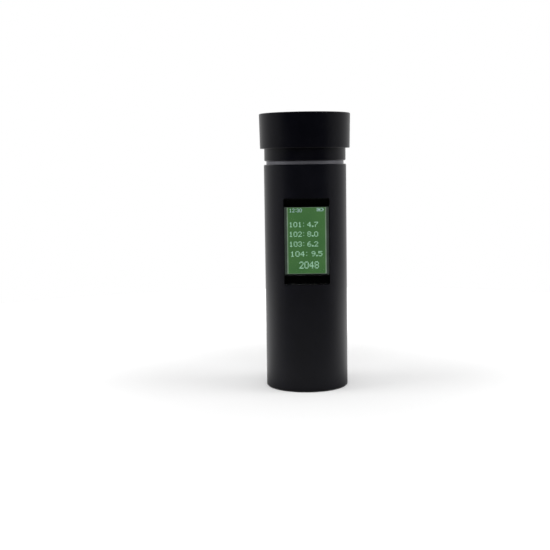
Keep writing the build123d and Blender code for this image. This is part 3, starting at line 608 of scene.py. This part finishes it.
# Plastics, rubber, resin and glaze are dull and even. The moulds of connectors and chips are finer.
POLYCARBONATE = Moulded("polycarbonate_black", deep="#070708", pale="#0b0b0c", roughness=0.5)
NYLON_FRAME = Moulded(
    "glass_filled_nylon_grey", deep="#54555a", pale="#606166", roughness=0.55, patch=1.2, grain=0.25
)
EPOXY_CHIP = Moulded("epoxy_moulding_black", deep="#19191b", pale="#222224", roughness=0.5, patch=0.8)
IVORY_NYLON = Moulded("nylon_ivory", deep="#d3ccb6", pale="#ded8c6", roughness=0.42)
SILICONE = Moulded("silicone_rubber_black", deep="#0b0b0b", pale="#131313", roughness=0.62, ior=1.41)
FOAM_TAPE = Moulded("foam_tape_black", deep="#050505", pale="#0a0a0a", roughness=0.8, patch=0.6)
PVC_LEAD = Moulded("pvc_insulation_red", deep="#8e1512", pale="#a81d18", roughness=0.36, patch=1.5)
EMITTER_BODY = Moulded("emitter_package_white", deep="#dedcd2", pale="#eceae2", roughness=0.4, patch=1.0)
CERAMIC_CHIP = Moulded("ceramic_capacitor_tan", deep="#8a6a48", pale="#a07f58", roughness=0.4, patch=0.4)
RESISTOR_GLAZE = Moulded("resistor_glaze_black", deep="#101012", pale="#1d1d20", roughness=0.25, patch=0.4)
PHOSPHOR = Moulded("phosphor_yellow", deep="#d9b23c", pale="#e6c555", roughness=0.5, patch=0.5)
# Metals are bright along their lines. Screws and solder have none, and mirror evenly.
TINNED_STEEL = Metal("tinned_steel", deep="#a9a9a4", pale="#c6c6c0", roughness=0.3)
STAINLESS = Metal("stainless_steel", deep="#8f8f8d", pale="#b4b3b0", roughness=0.26, stretch=(1, 1, 1))
SOLDER = Metal("solder_tin", deep="#b5b6b4", pale="#d4d4d0", roughness=0.2, patch=0.1, stretch=(1, 1, 1))
GOLD_PLATE = Metal(
    "gold_plated_contact", deep="#b98c3c", pale="#d9b060", roughness=0.22, stretch=(1, 0.05, 1)
)
# Boards, flat cables, the white reference and the cell's pouch each have a pattern of their own.
BOARD = SolderMask("solder_mask_green")
POLYIMIDE = FlatCable("polyimide_flat_cable")
CERAMIC = Glazed("glazed_ceramic_white")
POUCH = FoilLaminate("aluminium_laminate_pouch")
# The display is the only thing that glows: green, with a paler edge and pale mint figures.
LIT_GREEN = LitPanel("lit_display_green")
PANEL_EDGE = Glowing("lit_display_edge", bright="#7a8e7a", dim="#6c8069", patch=4.0)
SPILLED_LIGHT = Glowing("display_light_spill", bright="#3d443f", dim="#363d38", patch=4.0)
LIT_FIGURES = Glowing("lit_figures_mint", bright="#b4dfc2", dim="#9fcdae")
LIT_SYMBOL = Glowing("lit_symbol_pale_blue", bright="#bddad8", dim="#a8c6c6")


def deselect() -> None:
    """Drop the selection, so that the next operator acts on the new piece alone."""
    bpy.ops.object.select_all(action="DESELECT")


def select_faces(piece: Piece, wanted: Callable[[bpy.types.MeshPolygon], bool]) -> None:
    """Open a piece in edit mode with only some of its faces selected.

    Args:
        piece: the piece.
        wanted: says of each face whether it is selected.
    """
    bpy.context.view_layer.objects.active = piece
    bpy.ops.object.mode_set(mode="EDIT")
    bpy.ops.mesh.select_mode(type="FACE")
    bpy.ops.mesh.select_all(action="DESELECT")
    bpy.ops.object.mode_set(mode="OBJECT")
    for face in piece.data.polygons:
        face.select = wanted(face)
    bpy.ops.object.mode_set(mode="EDIT")


def settle(piece: Piece, name: str) -> Piece:
    """Leave edit mode, put the piece's place into its mesh and name it.

    Args:
        piece: the piece.
        name: its name.

    Returns:
        The same piece, unturned and at the origin.
    """
    if bpy.context.mode == "EDIT_MESH":
        bpy.ops.object.mode_set(mode="OBJECT")
    deselect()
    piece.select_set(True)
    bpy.context.view_layer.objects.active = piece
    bpy.ops.object.transform_apply(location=True, rotation=True, scale=True)
    piece.name = name
    piece.data.name = name
    return piece


def eased_block(name: str, low: Vector, high: Vector, ease: float) -> Piece:
    """Model a block with eased edges.

    Args:
        name: the block's name.
        low: its lowest corner, in millimetres.
        high: its highest corner, in millimetres.
        ease: how far its edges are broken, in millimetres.

    Returns:
        The block.
    """
    deselect()
    bpy.ops.mesh.primitive_cube_add(
        size=1, location=(low + high) / 2 * MM, scale=[abs(side) * MM for side in high - low]
    )
    block = settle(bpy.context.object, name)
    select_faces(block, lambda face: True)
    bpy.ops.mesh.bevel(offset=ease * MM, segments=1, affect="EDGES")
    return settle(block, name)


def copies(piece: Piece, places: Iterable[Vector]) -> list[Piece]:
    """Copy a piece to other places, each copy with its own mesh.

    Args:
        piece: the piece, which stays where it is.
        places: how far each copy is moved, in millimetres.

    Returns:
        The copies.
    """
    made = []
    for place in places:
        twin = piece.copy()
        twin.data = piece.data.copy()
        twin.data.transform(Matrix.Translation(place * MM))
        bpy.context.scene.collection.objects.link(twin)
        made.append(twin)
    return made


def joined(name: str, pieces: list[Piece]) -> Piece:
    """Join pieces to one.

    Args:
        name: the name of the result.
        pieces: what is joined.

    Returns:
        The joined piece.
    """
    deselect()
    for piece in pieces:
        piece.select_set(True)
    bpy.context.view_layer.objects.active = pieces[0]
    bpy.ops.object.join()
    return settle(bpy.context.object, name)


@dataclass
class SubAssembly:
    """A group of pieces that belong together.

    Args:
        nodes: the frame's CAD objects by name.
    """

    nodes: dict[str, Piece]

    def dress(self, finishes: dict[str, Finish]) -> None:
        """Give each named CAD node its finish.

        Args:
            finishes: node name to finish.
        """
        for name, finish in finishes.items():
            finish.apply(self.nodes[name])
            log.info("dressed %s in %s", name, finish.name)

    def place(self, piece: Piece, finish: Finish, body: str, slot: str) -> None:
        """Finish a new piece and make it ride on its body.

        Args:
            piece: the new piece.
            finish: what it is made of.
            body: the body that it moves with.
            slot: the record's material slot that it belongs to. Not used.
        """
        finish.apply(piece)
        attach(piece, body)
        log.info("made %s, %d faces", piece.name, len(piece.data.polygons))


@dataclass
class Housing(SubAssembly):
    """The shell: tube, foot, collar, window and the frame that carries everything inside."""

    def build(self) -> None:
        """Dress the shell and its fasteners."""
        self.dress(
            {
                "housing_tube": ANODISED,
                "measuring_base": TEXTURED_ABS,
                "guide_collar": ACETAL,
                "display_lens": ACRYLIC,
                "lens_tape": FOAM_TAPE,
                "screen_bezel": POLYCARBONATE,
                "inner_chassis": NYLON_FRAME,
                "base_screws": STAINLESS,
                "bezel_screws": STAINLESS,
                "collar_screws": STAINLESS,
            }
        )


# Seven rows of pixels for each figure of the display, and for the battery symbol
FIGURES = {
    "0": (".###.", "#...#", "#...#", "#...#", "#...#", "#...#", ".###."),
    "1": ("..#..", ".##..", "..#..", "..#..", "..#..", "..#..", ".###."),
    "2": (".###.", "#...#", "....#", "...#.", "..#..", ".#...", "#####"),
    "3": (".###.", "#...#", "....#", "..##.", "....#", "#...#", ".###."),
    "4": ("...#.", "..##.", ".#.#.", "#..#.", "#####", "...#.", "...#."),
    "5": ("#####", "#....", "####.", "....#", "....#", "#...#", ".###."),
    "6": ("..##.", ".#...", "#....", "####.", "#...#", "#...#", ".###."),
    "7": ("#####", "....#", "...#.", "..#..", ".#...", ".#...", ".#..."),
    "8": (".###.", "#...#", "#...#", ".###.", "#...#", "#...#", ".###."),
    "9": (".###.", "#...#", "#...#", ".####", "....#", "...#.", ".##.."),
    ":": ("..", ".#", "..", "..", "..", ".#", ".."),
    ".": ("..", "..", "..", "..", "..", "##", "##"),
    "battery": (
        "###########.",
        "#.........#.",
        "#.####....##",
        "#.####....##",
        "#.####....##",
        "#.........#.",
        "###########.",
    ),
}


@dataclass(frozen=True)
class Line:
    """One line of figures on the display.

    Args:
        signs: the figures, as a text or as a tuple of names.
        left: left edge of the first figure, in millimetres.
        middle: height of the line's centre above that of the lit area.
        across: width of a pixel with its gap.
        up: height of a pixel with its gap.
    """

    signs: str | tuple[str, ...]
    left: float
    middle: float
    across: float
    up: float

    def pixels(self, base: float) -> list[Vector]:
        """Give the centre of each lit pixel.

        Args:
            base: height of the lit area's centre, in millimetres.

        Returns:
            The centres, left to right and downwards as seen from the front.
        """
        lit = []
        start = self.left + self.across / 2
        for sign in self.signs:
            rows = FIGURES[sign]
            for row, pattern in enumerate(rows):
                height = base + self.middle + ((len(rows) - 1) / 2 - row) * self.up
                lit += [
                    Vector((start + column * self.across, 0, height))
                    for column, mark in enumerate(pattern)
                    if mark == "#"
                ]
            start += (len(rows[0]) + 1) * self.across
        return lit


@dataclass
class Display(SubAssembly):
    """The display: module, lit panel with its pale edge, and the figures on it."""

    lit_width: float = 14.5
    lit_height: float = 24.5
    lit_lift: float = 0.27
    edge_width: float = 0.42
    edge_height: float = 0.1
    spill_width: float = 0.66
    spill_overshoot: float = 0.15
    sheet: float = 0.05
    panel_ease: float = 0.015
    ease: float = 0.01
    pixel_share: float = 0.9
    numbers: tuple[Line, ...] = (
        Line("101:", -6.46, 5.96, 0.275, 0.27),
        Line("102:", -6.46, 2.41, 0.275, 0.27),
        Line("103:", -6.46, -1.25, 0.275, 0.27),
        Line("104:", -6.1, -4.88, 0.31, 0.28),
        Line("4.7", 0.25, 5.96, 0.283, 0.27),
        Line("8.0", 0.25, 2.41, 0.283, 0.27),
        Line("6.2", 0.25, -1.25, 0.283, 0.27),
        Line("9.5", 1.72, -4.88, 0.283, 0.27),
        Line("2048", -2.85, -9.02, 0.315, 0.375),
    )
    status: tuple[Line, ...] = (
        Line("12:30", -6.3, 11.17, 0.178, 0.19),
        Line(("battery",), 3.82, 11.36, 0.21, 0.16),
    )

    def lit_panel(self, face: float, middle: float) -> Piece:
        """Model the lit sheet in front of the panel glass.

        Args:
            face: where the panel glass ends, along Y.
            middle: height of its centre.

        Returns:
            The sheet.
        """
        half = Vector((self.lit_width / 2, 0, self.lit_height / 2))
        low = Vector((0, face, middle)) - half
        high = Vector((0, face - self.sheet, middle)) + half
        return eased_block("lit_panel", low, high, self.panel_ease)

    def panel_edge(self, face: float, middle: float) -> Piece:
        """Model the pale frame around the lit area.

        Args:
            face: where the lit sheet ends, along Y.
            middle: height of its centre.

        Returns:
            The frame.
        """
        deselect()
        bpy.ops.mesh.primitive_plane_add(
            size=1, location=(0, face * MM, middle * MM), rotation=(radians(90), 0, 0)
        )
        frame = bpy.context.object
        frame.scale = (self.lit_width * MM, self.lit_height * MM, 1)
        settle(frame, "panel_edge")
        select_faces(frame, lambda side: True)
        bpy.ops.mesh.inset(thickness=self.edge_height * MM)
        inner = (self.lit_width - 2 * self.edge_width) / (self.lit_width - 2 * self.edge_height)
        bpy.ops.transform.resize(value=(inner, 1, 1))
        bpy.ops.mesh.delete(type="FACE")
        settle(frame, "panel_edge")
        wall = frame.modifiers.new("wall", "SOLIDIFY")
        wall.thickness = self.sheet * MM
        wall.offset = 1
        bpy.ops.object.modifier_apply(modifier=wall.name)
        return frame

    def light_spill(self, face: float, middle: float) -> Piece:
        """Model the light that the panel spills into the bare glass along both of its sides.

        Args:
            face: where the panel glass ends, along Y.
            middle: height of the lit area's centre.

        Returns:
            Both strips as one piece.
        """
        reach = self.lit_height / 2 + self.spill_overshoot
        low = Vector((self.lit_width / 2, face - self.sheet, middle - reach))
        high = Vector((low.x + self.spill_width, face, middle + reach))
        strip = eased_block("light_spill", low, high, self.ease)
        twins = copies(strip, [Vector((-low.x - high.x, 0, 0))])
        return joined("light_spill", [strip, *twins])

    def figures(self, name: str, lines: Iterable[Line], face: float, middle: float) -> Piece:
        """Model the lit pixels of some lines.

        Args:
            name: name of the piece.
            lines: what they say and where.
            face: where the lit sheet ends, along Y.
            middle: height of the lit area's centre.

        Returns:
            All their pixels as one piece.
        """
        made = []
        for line in lines:
            half = Vector((line.across, 0, line.up)) * self.pixel_share / 2
            low, high = Vector((0, face, 0)) - half, Vector((0, face - self.sheet, 0)) + half
            dot = eased_block(name, low, high, self.ease)
            made += copies(dot, line.pixels(middle))
            bpy.data.objects.remove(dot)
        return joined(name, made)

    def build(self) -> None:
        """Dress the module and light it."""
        self.dress({"display_module": EPOXY_CHIP, "display_flex": POLYIMIDE, "flex_connector": IVORY_NYLON})
        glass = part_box("display_module")[0].y / MM
        low, high = [corner.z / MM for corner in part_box("display_lens")]
        middle = (low + high) / 2 + self.lit_lift
        lit = glass - self.sheet
        for piece, finish, slot in (
            (self.lit_panel(glass, middle), LIT_GREEN, "display_panel"),
            (self.panel_edge(lit, middle), PANEL_EDGE, "display_panel"),
            (self.light_spill(glass, middle), SPILLED_LIGHT, "display_panel"),
            (self.figures("number_figures", self.numbers, lit, middle), LIT_FIGURES, "emitter_white"),
            (self.figures("status_figures", self.status, lit, middle), LIT_SYMBOL, "emitter_white"),
        ):
            self.place(piece, finish, "housing", slot)


@dataclass(frozen=True)
class Passive:
    """Small chips of one kind on the rear of the main board.

    Args:
        name: name of their piece.
        width: of one, in millimetres.
        thickness: of one.
        height: of one, with its metal ends.
        end: height of each metal end.
        finish: what the body is made of.
        slot: the record's material slot for the body.
        places: X and Z of each one's centre.
    """

    name: str
    width: float
    thickness: float
    height: float
    end: float
    finish: Finish
    slot: str
    places: tuple[Pair, ...]


CAPACITOR_PLACES = tuple((-8.6 + 1.5 * count, 40.2) for count in range(3)) + tuple(
    (8.4, 33.0 + 2.0 * count) for count in range(4)
)
RESISTOR_PLACES = tuple((-9.2, 46.0 + 1.4 * count) for count in range(6)) + tuple(
    (9.4, 44.0 + 1.4 * count) for count in range(5)
)


@dataclass
class Electronics(SubAssembly):
    """Boards, battery and charging receptacle."""

    passives: tuple[Passive, ...] = (
        Passive("board_capacitors", 0.8, 0.8, 1.6, 0.3, CERAMIC_CHIP, "connector_ivory", CAPACITOR_PLACES),
        Passive("board_resistors", 0.8, 0.35, 1.0, 0.2, RESISTOR_GLAZE, "chip_black", RESISTOR_PLACES),
    )
    ease: float = 0.05
    end_swell: float = 0.03

    contact_width: float = 0.26
    contact_thickness: float = 0.04
    contact_length: float = 4.2
    contact_setback: float = 0.9
    contact_ease: float = 0.012
    contact_pitch: float = 0.5
    contact_count: int = 12

    def usb_contacts(self) -> Piece:
        """Model the two rows of contacts on the tongue of the receptacle.

        Returns:
            All contacts as one piece.
        """
        low, high = [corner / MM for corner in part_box("usb_c_tongue")]
        tip = high.y - self.contact_setback
        first = (low.z + high.z) / 2 - (self.contact_count - 1) / 2 * self.contact_pitch
        made = []
        for side in (low.x - self.contact_thickness, high.x):
            corner = Vector((side, tip - self.contact_length, first - self.contact_width / 2))
            size = Vector((self.contact_thickness, self.contact_length, self.contact_width))
            contact = eased_block("usb_contacts", corner, corner + size, self.contact_ease)
            steps = [Vector((0, 0, count * self.contact_pitch)) for count in range(self.contact_count)]
            made += copies(contact, steps)
            bpy.data.objects.remove(contact)
        return joined("usb_contacts", made)

    def solder_down(self, passive: Passive) -> None:
        """Put small chips of one kind on the rear of the main board, each between two metal ends.

        Args:
            passive: their size, finish and places.
        """
        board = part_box("main_board")[1].y / MM
        places = [Vector((across, 0, up)) for across, up in passive.places]
        name = passive.name + "_ends"
        inner = passive.height / 2 - passive.end
        wide, top = passive.width / 2, board + passive.thickness
        chip = eased_block(
            passive.name, Vector((-wide, board, -inner)), Vector((wide, top, inner)), self.ease
        )
        wide, top = wide + self.end_swell, top + self.end_swell
        ends = [
            eased_block(
                name, Vector((-wide, board, low)), Vector((wide, top, low + passive.end)), self.ease
            )
            for low in (-passive.height / 2, inner)
        ]
        bodies = joined(passive.name, copies(chip, places))
        caps = joined(name, [twin for end in ends for twin in copies(end, places)])
        for model in (chip, *ends):
            bpy.data.objects.remove(model)
        bodies.name, caps.name = passive.name, name
        self.place(bodies, passive.finish, "housing", passive.slot)
        self.place(caps, SOLDER, "housing", "shield_tin")

    def build(self) -> None:
        """Dress the electronics and add the small parts on the board."""
        self.dress(
            {
                "main_board": BOARD,
                "board_chips": EPOXY_CHIP,
                "radio_module": TINNED_STEEL,
                "board_screws": STAINLESS,
                "usb_c_shell": TINNED_STEEL,
                "usb_c_tongue": EPOXY_CHIP,
                "battery_cell": POUCH,
                "battery_leads": PVC_LEAD,
                "battery_connector": IVORY_NYLON,
                "switch_board": BOARD,
                "switch_body": EPOXY_CHIP,
                "switch_cable": POLYIMIDE,
            }
        )
        self.place(self.usb_contacts(), GOLD_PLATE, "housing", "shield_tin")
        for passive in self.passives:
            self.solder_down(passive)


@dataclass
class Optics(SubAssembly):
    """Measuring optics behind the aperture."""

    dome_count: int = 8
    dome_width: float = 1.3
    dome_height: float = 0.14
    dome_inset: float = 0.8
    window_width: float = 3.2
    window_depth: float = 2.2
    window_thickness: float = 0.08
    window_ease: float = 0.03

    def phosphor_domes(self) -> Piece:
        """Model the phosphor caps on the emitters, which face the light guide.

        Returns:
            All domes as one piece.
        """
        low, high = [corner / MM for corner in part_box("led_emitters")]
        ring = high.x - self.dome_inset
        deselect()
        bpy.ops.mesh.primitive_uv_sphere_add(
            segments=16, ring_count=8, radius=self.dome_width / 2 * MM, location=(0, 0, 0)
        )
        dome = bpy.context.object
        dome.scale = (1, 1, self.dome_height / (self.dome_width / 2))
        settle(dome, "phosphor_domes")
        # The upper half is pressed flat, where the dome meets its emitter.
        for point in dome.data.vertices:
            point.co.z = min(point.co.z, 0)
        turns = [2 * pi * count / self.dome_count for count in range(self.dome_count)]
        made = copies(dome, [Vector((ring * cos(turn), ring * sin(turn), low.z)) for turn in turns])
        bpy.data.objects.remove(dome)
        domes = joined("phosphor_domes", made)
        bpy.ops.object.shade_smooth_by_angle(angle=CREASE)
        return domes

    def sensor_window(self) -> Piece:
        """Model the glass over the sensor, which looks down the barrel.

        Returns:
            The glass.
        """
        low, high = [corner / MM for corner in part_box("spectral_sensor")]
        foot = Vector((*((low + high) / 2).xy, low.z))
        half = Vector((self.window_width, self.window_depth, 0)) / 2
        below = Vector((0, 0, self.window_thickness))
        return eased_block("sensor_window", foot - half - below, foot + half, self.window_ease)

    def build(self) -> None:
        """Dress the optics and add the phosphor and the sensor's window."""
        self.dress(
            {
                "aperture_glass": GLASS,
                "glass_gasket": SILICONE,
                "light_guide_ring": ACRYLIC,
                "led_board": BOARD,
                "led_emitters": EMITTER_BODY,
                "led_flex": POLYIMIDE,
                "optics_barrel": POLYCARBONATE,
                "barrel_screws": STAINLESS,
                "collimating_lens": GLASS,
                "lens_retainer": POLYCARBONATE,
                "sensor_board": BOARD,
                "spectral_sensor": EPOXY_CHIP,
                "sensor_screws": STAINLESS,
                "sensor_flex": POLYIMIDE,
            }
        )
        self.place(self.phosphor_domes(), PHOSPHOR, "housing", "emitter_white")
        self.place(self.sensor_window(), GLASS, "housing", "glass_clear")


@dataclass
class MeasuringButton(SubAssembly):
    """The push button on top and what it works."""

    wire: float = 0.5
    wire_ease: float = 0.01
    turns: int = 4
    steps: int = 40
    sides: int = 16

    def return_spring(self) -> Piece:
        """Model the spring, whose coils close up between the collar and the button.

        Returns:
            The spring, in the place of its CAD node.
        """
        low, high = [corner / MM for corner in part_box("button_spring")]
        middle = Vector((high.x - self.wire / 2, 0, low.z + self.wire / 2))
        deselect()
        bpy.ops.mesh.primitive_circle_add(
            vertices=self.sides,
            radius=(self.wire / 2 - self.wire_ease) * MM,
            location=middle * MM,
            rotation=(radians(90), 0, 0),
        )
        spring = settle(bpy.context.object, "return_spring")
        wound = spring.modifiers.new("wound", "SCREW")
        wound.axis = Axis.UP.value
        wound.iterations = self.turns
        wound.screw_offset = (high.z - low.z - self.wire) / self.turns * MM
        wound.steps = wound.render_steps = self.steps
        bpy.ops.object.modifier_apply(modifier=wound.name)
        # Both ends of the wire are open, so they are filled before the normals are set.
        select_faces(spring, lambda face: True)
        bpy.ops.mesh.select_mode(type="VERT")
        bpy.ops.mesh.select_all(action="SELECT")
        bpy.ops.mesh.fill_holes(sides=self.sides)
        bpy.ops.mesh.select_all(action="SELECT")
        bpy.ops.mesh.normals_make_consistent(inside=False)
        settle(spring, "return_spring")
        bpy.ops.object.shade_smooth_by_angle(angle=CREASE)
        return spring

    def build(self) -> None:
        """Dress the button, its clip and the switch plunger, and wind the spring."""
        self.dress({"measure_button": TEXTURED_ABS, "stem_clip": STAINLESS, "switch_plunger": IVORY_NYLON})
        spring = self.return_spring()
        STAINLESS.apply(spring)
        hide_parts("button_spring")
        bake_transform(spring)
        log.info("made %s, %d faces", spring.name, len(spring.data.polygons))


@dataclass
class CalibrationCap(SubAssembly):
    """The cap with the white reference tile."""

    def build(self) -> None:
        """Dress the cap, the tile, the ring that holds it and the soft grip ring."""
        self.dress(
            {
                "cap_shell": TEXTURED_ABS,
                "calibration_tile": CERAMIC,
                "tile_retainer": POLYCARBONATE,
                "cap_grip_ring": SILICONE,
            }
        )


@dataclass(frozen=True)
class Lamp:
    """A soft area lamp that points at the middle of the tube.

    Args:
        name: the lamp's name.
        azimuth: degrees round the object from the camera's side, positive to the right.
        height: degrees above the horizon.
        distance: from the object, in millimetres.
        size: edge of the lit square, in millimetres.
        power: in watts.
    """

    name: str
    azimuth: float
    height: float
    distance: float
    size: float
    power: float

    def build(self, target: Vector) -> None:
        """Hang the lamp and aim it.

        Args:
            target: the point that it lights.
        """
        light = bpy.data.lights.new(self.name, "AREA")
        light.shape = "SQUARE"
        light.size = self.size * MM
        light.energy = self.power
        lamp = bpy.data.objects.new(self.name, light)
        turn, rise = radians(self.azimuth), radians(self.height)
        way = Vector((sin(turn) * cos(rise), -cos(turn) * cos(rise), sin(rise)))
        lamp.location = target + way * self.distance * MM
        lamp.rotation_euler = way.to_track_quat("Z", "Y").to_euler()
        lamp.visible_glossy = False  # glossy surfaces mirror the room, and not its lamps
        bpy.context.scene.collection.objects.link(lamp)
        log.info("hung %s at %.1f W", self.name, self.power)


@dataclass
class Studio:
    """Floor, lamps, surroundings and camera.

    The room is dark behind the camera and white behind the object, as in the photograph: a
    black tube then shows a dark front and pale bands along its sides.
    """

    floor_radius: float = 300.0
    floor_ring: float = 100.0
    floor_sides: int = 96
    floor_white: str = "#cccccc"
    # What the floor adds to its light for the camera, from near the object outwards. It whitens the
    # floor and leaves the shadow at the foot.
    floor_glow: Pair = (0.19, 1.0)
    glow_reach: Pair = (50.0, 220.0)
    # Brightness of the floor in a glossy surface, from in front of the object to behind it.
    floor_in_gloss: Pair = (0.25, 0.85)
    gloss_reach: Pair = (-70.0, 70.0)
    # The object's own shadow, which its foot mirrors, from under the object outwards.
    foot_shade: Pair = (0.45, 1.0)
    foot_shade_reach: Pair = (16.0, 45.0)
    camera_place: Triple = (-11.74, -386.2, 85.0)
    camera_pitch: float = 6.301
    camera_roll: float = 0.819
    camera_yaw: float = 0.02
    camera_lens: float = 66.68
    sensor: float = 36.0
    # Directions go from 0, behind the camera, to 1, behind the object. Between these two, glass
    # begins to show the white background. The table gives the room's brightness by direction.
    white_through: Pair = (0.45, 0.55)
    room: tuple[Pair, ...] = (
        (0.0, 0.018),
        (0.2, 0.018),
        (0.25, 0.084),
        (0.345, 0.2),
        (0.5, 0.27),
        (0.6, 0.32),
        (0.69, 0.41),
        (0.77, 0.5),
        (0.83, 0.5),
        (0.92, 0.62),
        (1.0, 0.8),
    )
    lamps: tuple[Lamp, ...] = (
        Lamp("left_softbox", -80, 20, 450, 300, 1.4),
        Lamp("right_softbox", 80, 20, 450, 300, 1.4),
        Lamp("overhead_softbox", 0, 85, 500, 400, 1.4),
        Lamp("front_fill", 0, 35, 600, 400, 1.2),
    )

    def camera(self) -> None:
        """Set the camera at the photograph's angle, level but for a slight roll."""
        data = bpy.data.cameras.new("camera")
        data.lens = self.camera_lens
        data.sensor_width = self.sensor
        eye = bpy.data.objects.new("camera", data)
        eye.matrix_world = (
            Matrix.Translation(Vector(self.camera_place) * MM)
            @ Matrix.Rotation(radians(self.camera_yaw), 4, "Z")
            @ Matrix.Rotation(radians(90 - self.camera_pitch), 4, "X")
            @ Matrix.Rotation(radians(-self.camera_roll), 4, "Z")
        )
        bpy.context.scene.collection.objects.link(eye)
        bpy.context.scene.camera = eye

    def surroundings(self) -> None:
        """Show white to the camera, and the room to every surface that mirrors it."""
        world = bpy.data.worlds.new("studio_room")
        world.use_nodes = True
        tree = world.node_tree
        tree.nodes.clear()
        direction = add_node(tree, "ShaderNodeTexCoord").outputs["Generated"]
        axes = add_node(tree, "ShaderNodeSeparateXYZ", {"Vector": direction})
        deep = axes.outputs[Axis.DEEP.value]
        along = add_node(tree, "ShaderNodeMapRange", {"Value": deep, "From Min": -1.0})
        room = add_node(tree, "ShaderNodeValToRGB", {"Fac": along})
        stops = room.color_ramp.elements
        for place, _ in self.room[1:-1]:
            stops.new(place)
        for stop, (_, brightness) in zip(stops, self.room):
            stop.color = (brightness, brightness, brightness, 1)
        dim = add_node(tree, "ShaderNodeBackground", {"Color": room})
        white = add_node(tree, "ShaderNodeBackground", {"Color": linear("#ffffff")})
        ray = add_node(tree, "ShaderNodeLightPath")
        # Glass shows the white that is behind it, and not what its own rear face mirrors to the front.
        first, last = self.white_through
        reach = {"Value": along, "From Min": first, "From Max": last}
        behind = add_node(tree, "ShaderNodeMapRange", reach, interpolation_type="SMOOTHSTEP")
        glass = {0: ray.outputs["Is Transmission Ray"], 1: behind}
        through = add_node(tree, "ShaderNodeMath", glass, operation="MULTIPLY")
        either = {0: ray.outputs["Is Camera Ray"], 1: through}
        seen = add_node(tree, "ShaderNodeMath", either, operation="MAXIMUM")
        mixed = add_node(tree, "ShaderNodeMixShader", {0: seen, 1: dim, 2: white})
        add_node(tree, "ShaderNodeOutputWorld", {"Surface": mixed})
        bpy.context.scene.world = world

    def floor(self) -> None:
        """Lay a round pale floor that is white away from the object and keeps its shadow."""
        deselect()
        bpy.ops.mesh.primitive_circle_add(
            vertices=self.floor_sides, radius=self.floor_radius * MM, fill_type="NGON", location=(0, 0, 0)
        )
        disc = bpy.context.object
        select_faces(disc, lambda face: True)
        bpy.ops.mesh.inset(thickness=self.floor_ring * MM)
        settle(disc, "floor")
        paint = bpy.data.materials.new("matte_paper_white")
        paint.use_nodes = True
        tree = paint.node_tree
        tree.nodes.clear()
        place = object_place(tree)
        away = add_node(tree, "ShaderNodeVectorMath", {0: place}, operation="LENGTH").outputs["Value"]
        deep = add_node(tree, "ShaderNodeSeparateXYZ", {"Vector": place}).outputs[Axis.DEEP.value]
        glow, backward, shade = (
            add_node(
                tree,
                "ShaderNodeMapRange",
                {
                    "Value": way,
                    "From Min": reach[0] * MM,
                    "From Max": reach[1] * MM,
                    "To Min": values[0],
                    "To Max": values[1],
                },
                interpolation_type="SMOOTHSTEP",
            )
            for way, reach, values in (
                (away, self.glow_reach, self.floor_glow),
                (deep, self.gloss_reach, self.floor_in_gloss),
                (away, self.foot_shade_reach, self.foot_shade),
            )
        )
        lit = add_node(tree, "ShaderNodeBsdfDiffuse", {"Color": linear(self.floor_white)})
        added = add_node(tree, "ShaderNodeEmission", {"Strength": glow})
        bright = add_node(tree, "ShaderNodeAddShader", {0: lit, 1: added})
        mirrored = add_node(tree, "ShaderNodeMath", {0: backward, 1: shade}, operation="MULTIPLY")
        faint = add_node(tree, "ShaderNodeEmission", {"Strength": mirrored})
        ray = add_node(tree, "ShaderNodeLightPath").outputs
        seen = add_node(tree, "ShaderNodeMixShader", {0: ray["Is Camera Ray"], 1: lit, 2: bright})
        mixed = add_node(tree, "ShaderNodeMixShader", {0: ray["Is Glossy Ray"], 1: seen, 2: faint})
        add_node(tree, "ShaderNodeOutputMaterial", {"Surface": mixed})
        disc.data.materials.append(paint)

    def build(self) -> None:
        """Set up the studio."""
        bpy.context.scene.view_settings.view_transform = "Standard"
        self.camera()
        self.surroundings()
        self.floor()
        low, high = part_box("housing_tube")
        for lamp in self.lamps:
            lamp.build((low + high) / 2)


def main() -> None:
    """Load the frame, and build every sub-assembly and the studio."""
    logging.basicConfig(level=logging.INFO, format="%(name)s: %(message)s")
    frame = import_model()
    nodes = frame["nodes"]
    for assembly in (Housing, Display, Electronics, Optics, MeasuringButton, CalibrationCap):
        assembly(nodes).build()
    Studio().build()


if __name__ == "__main__":
    main()
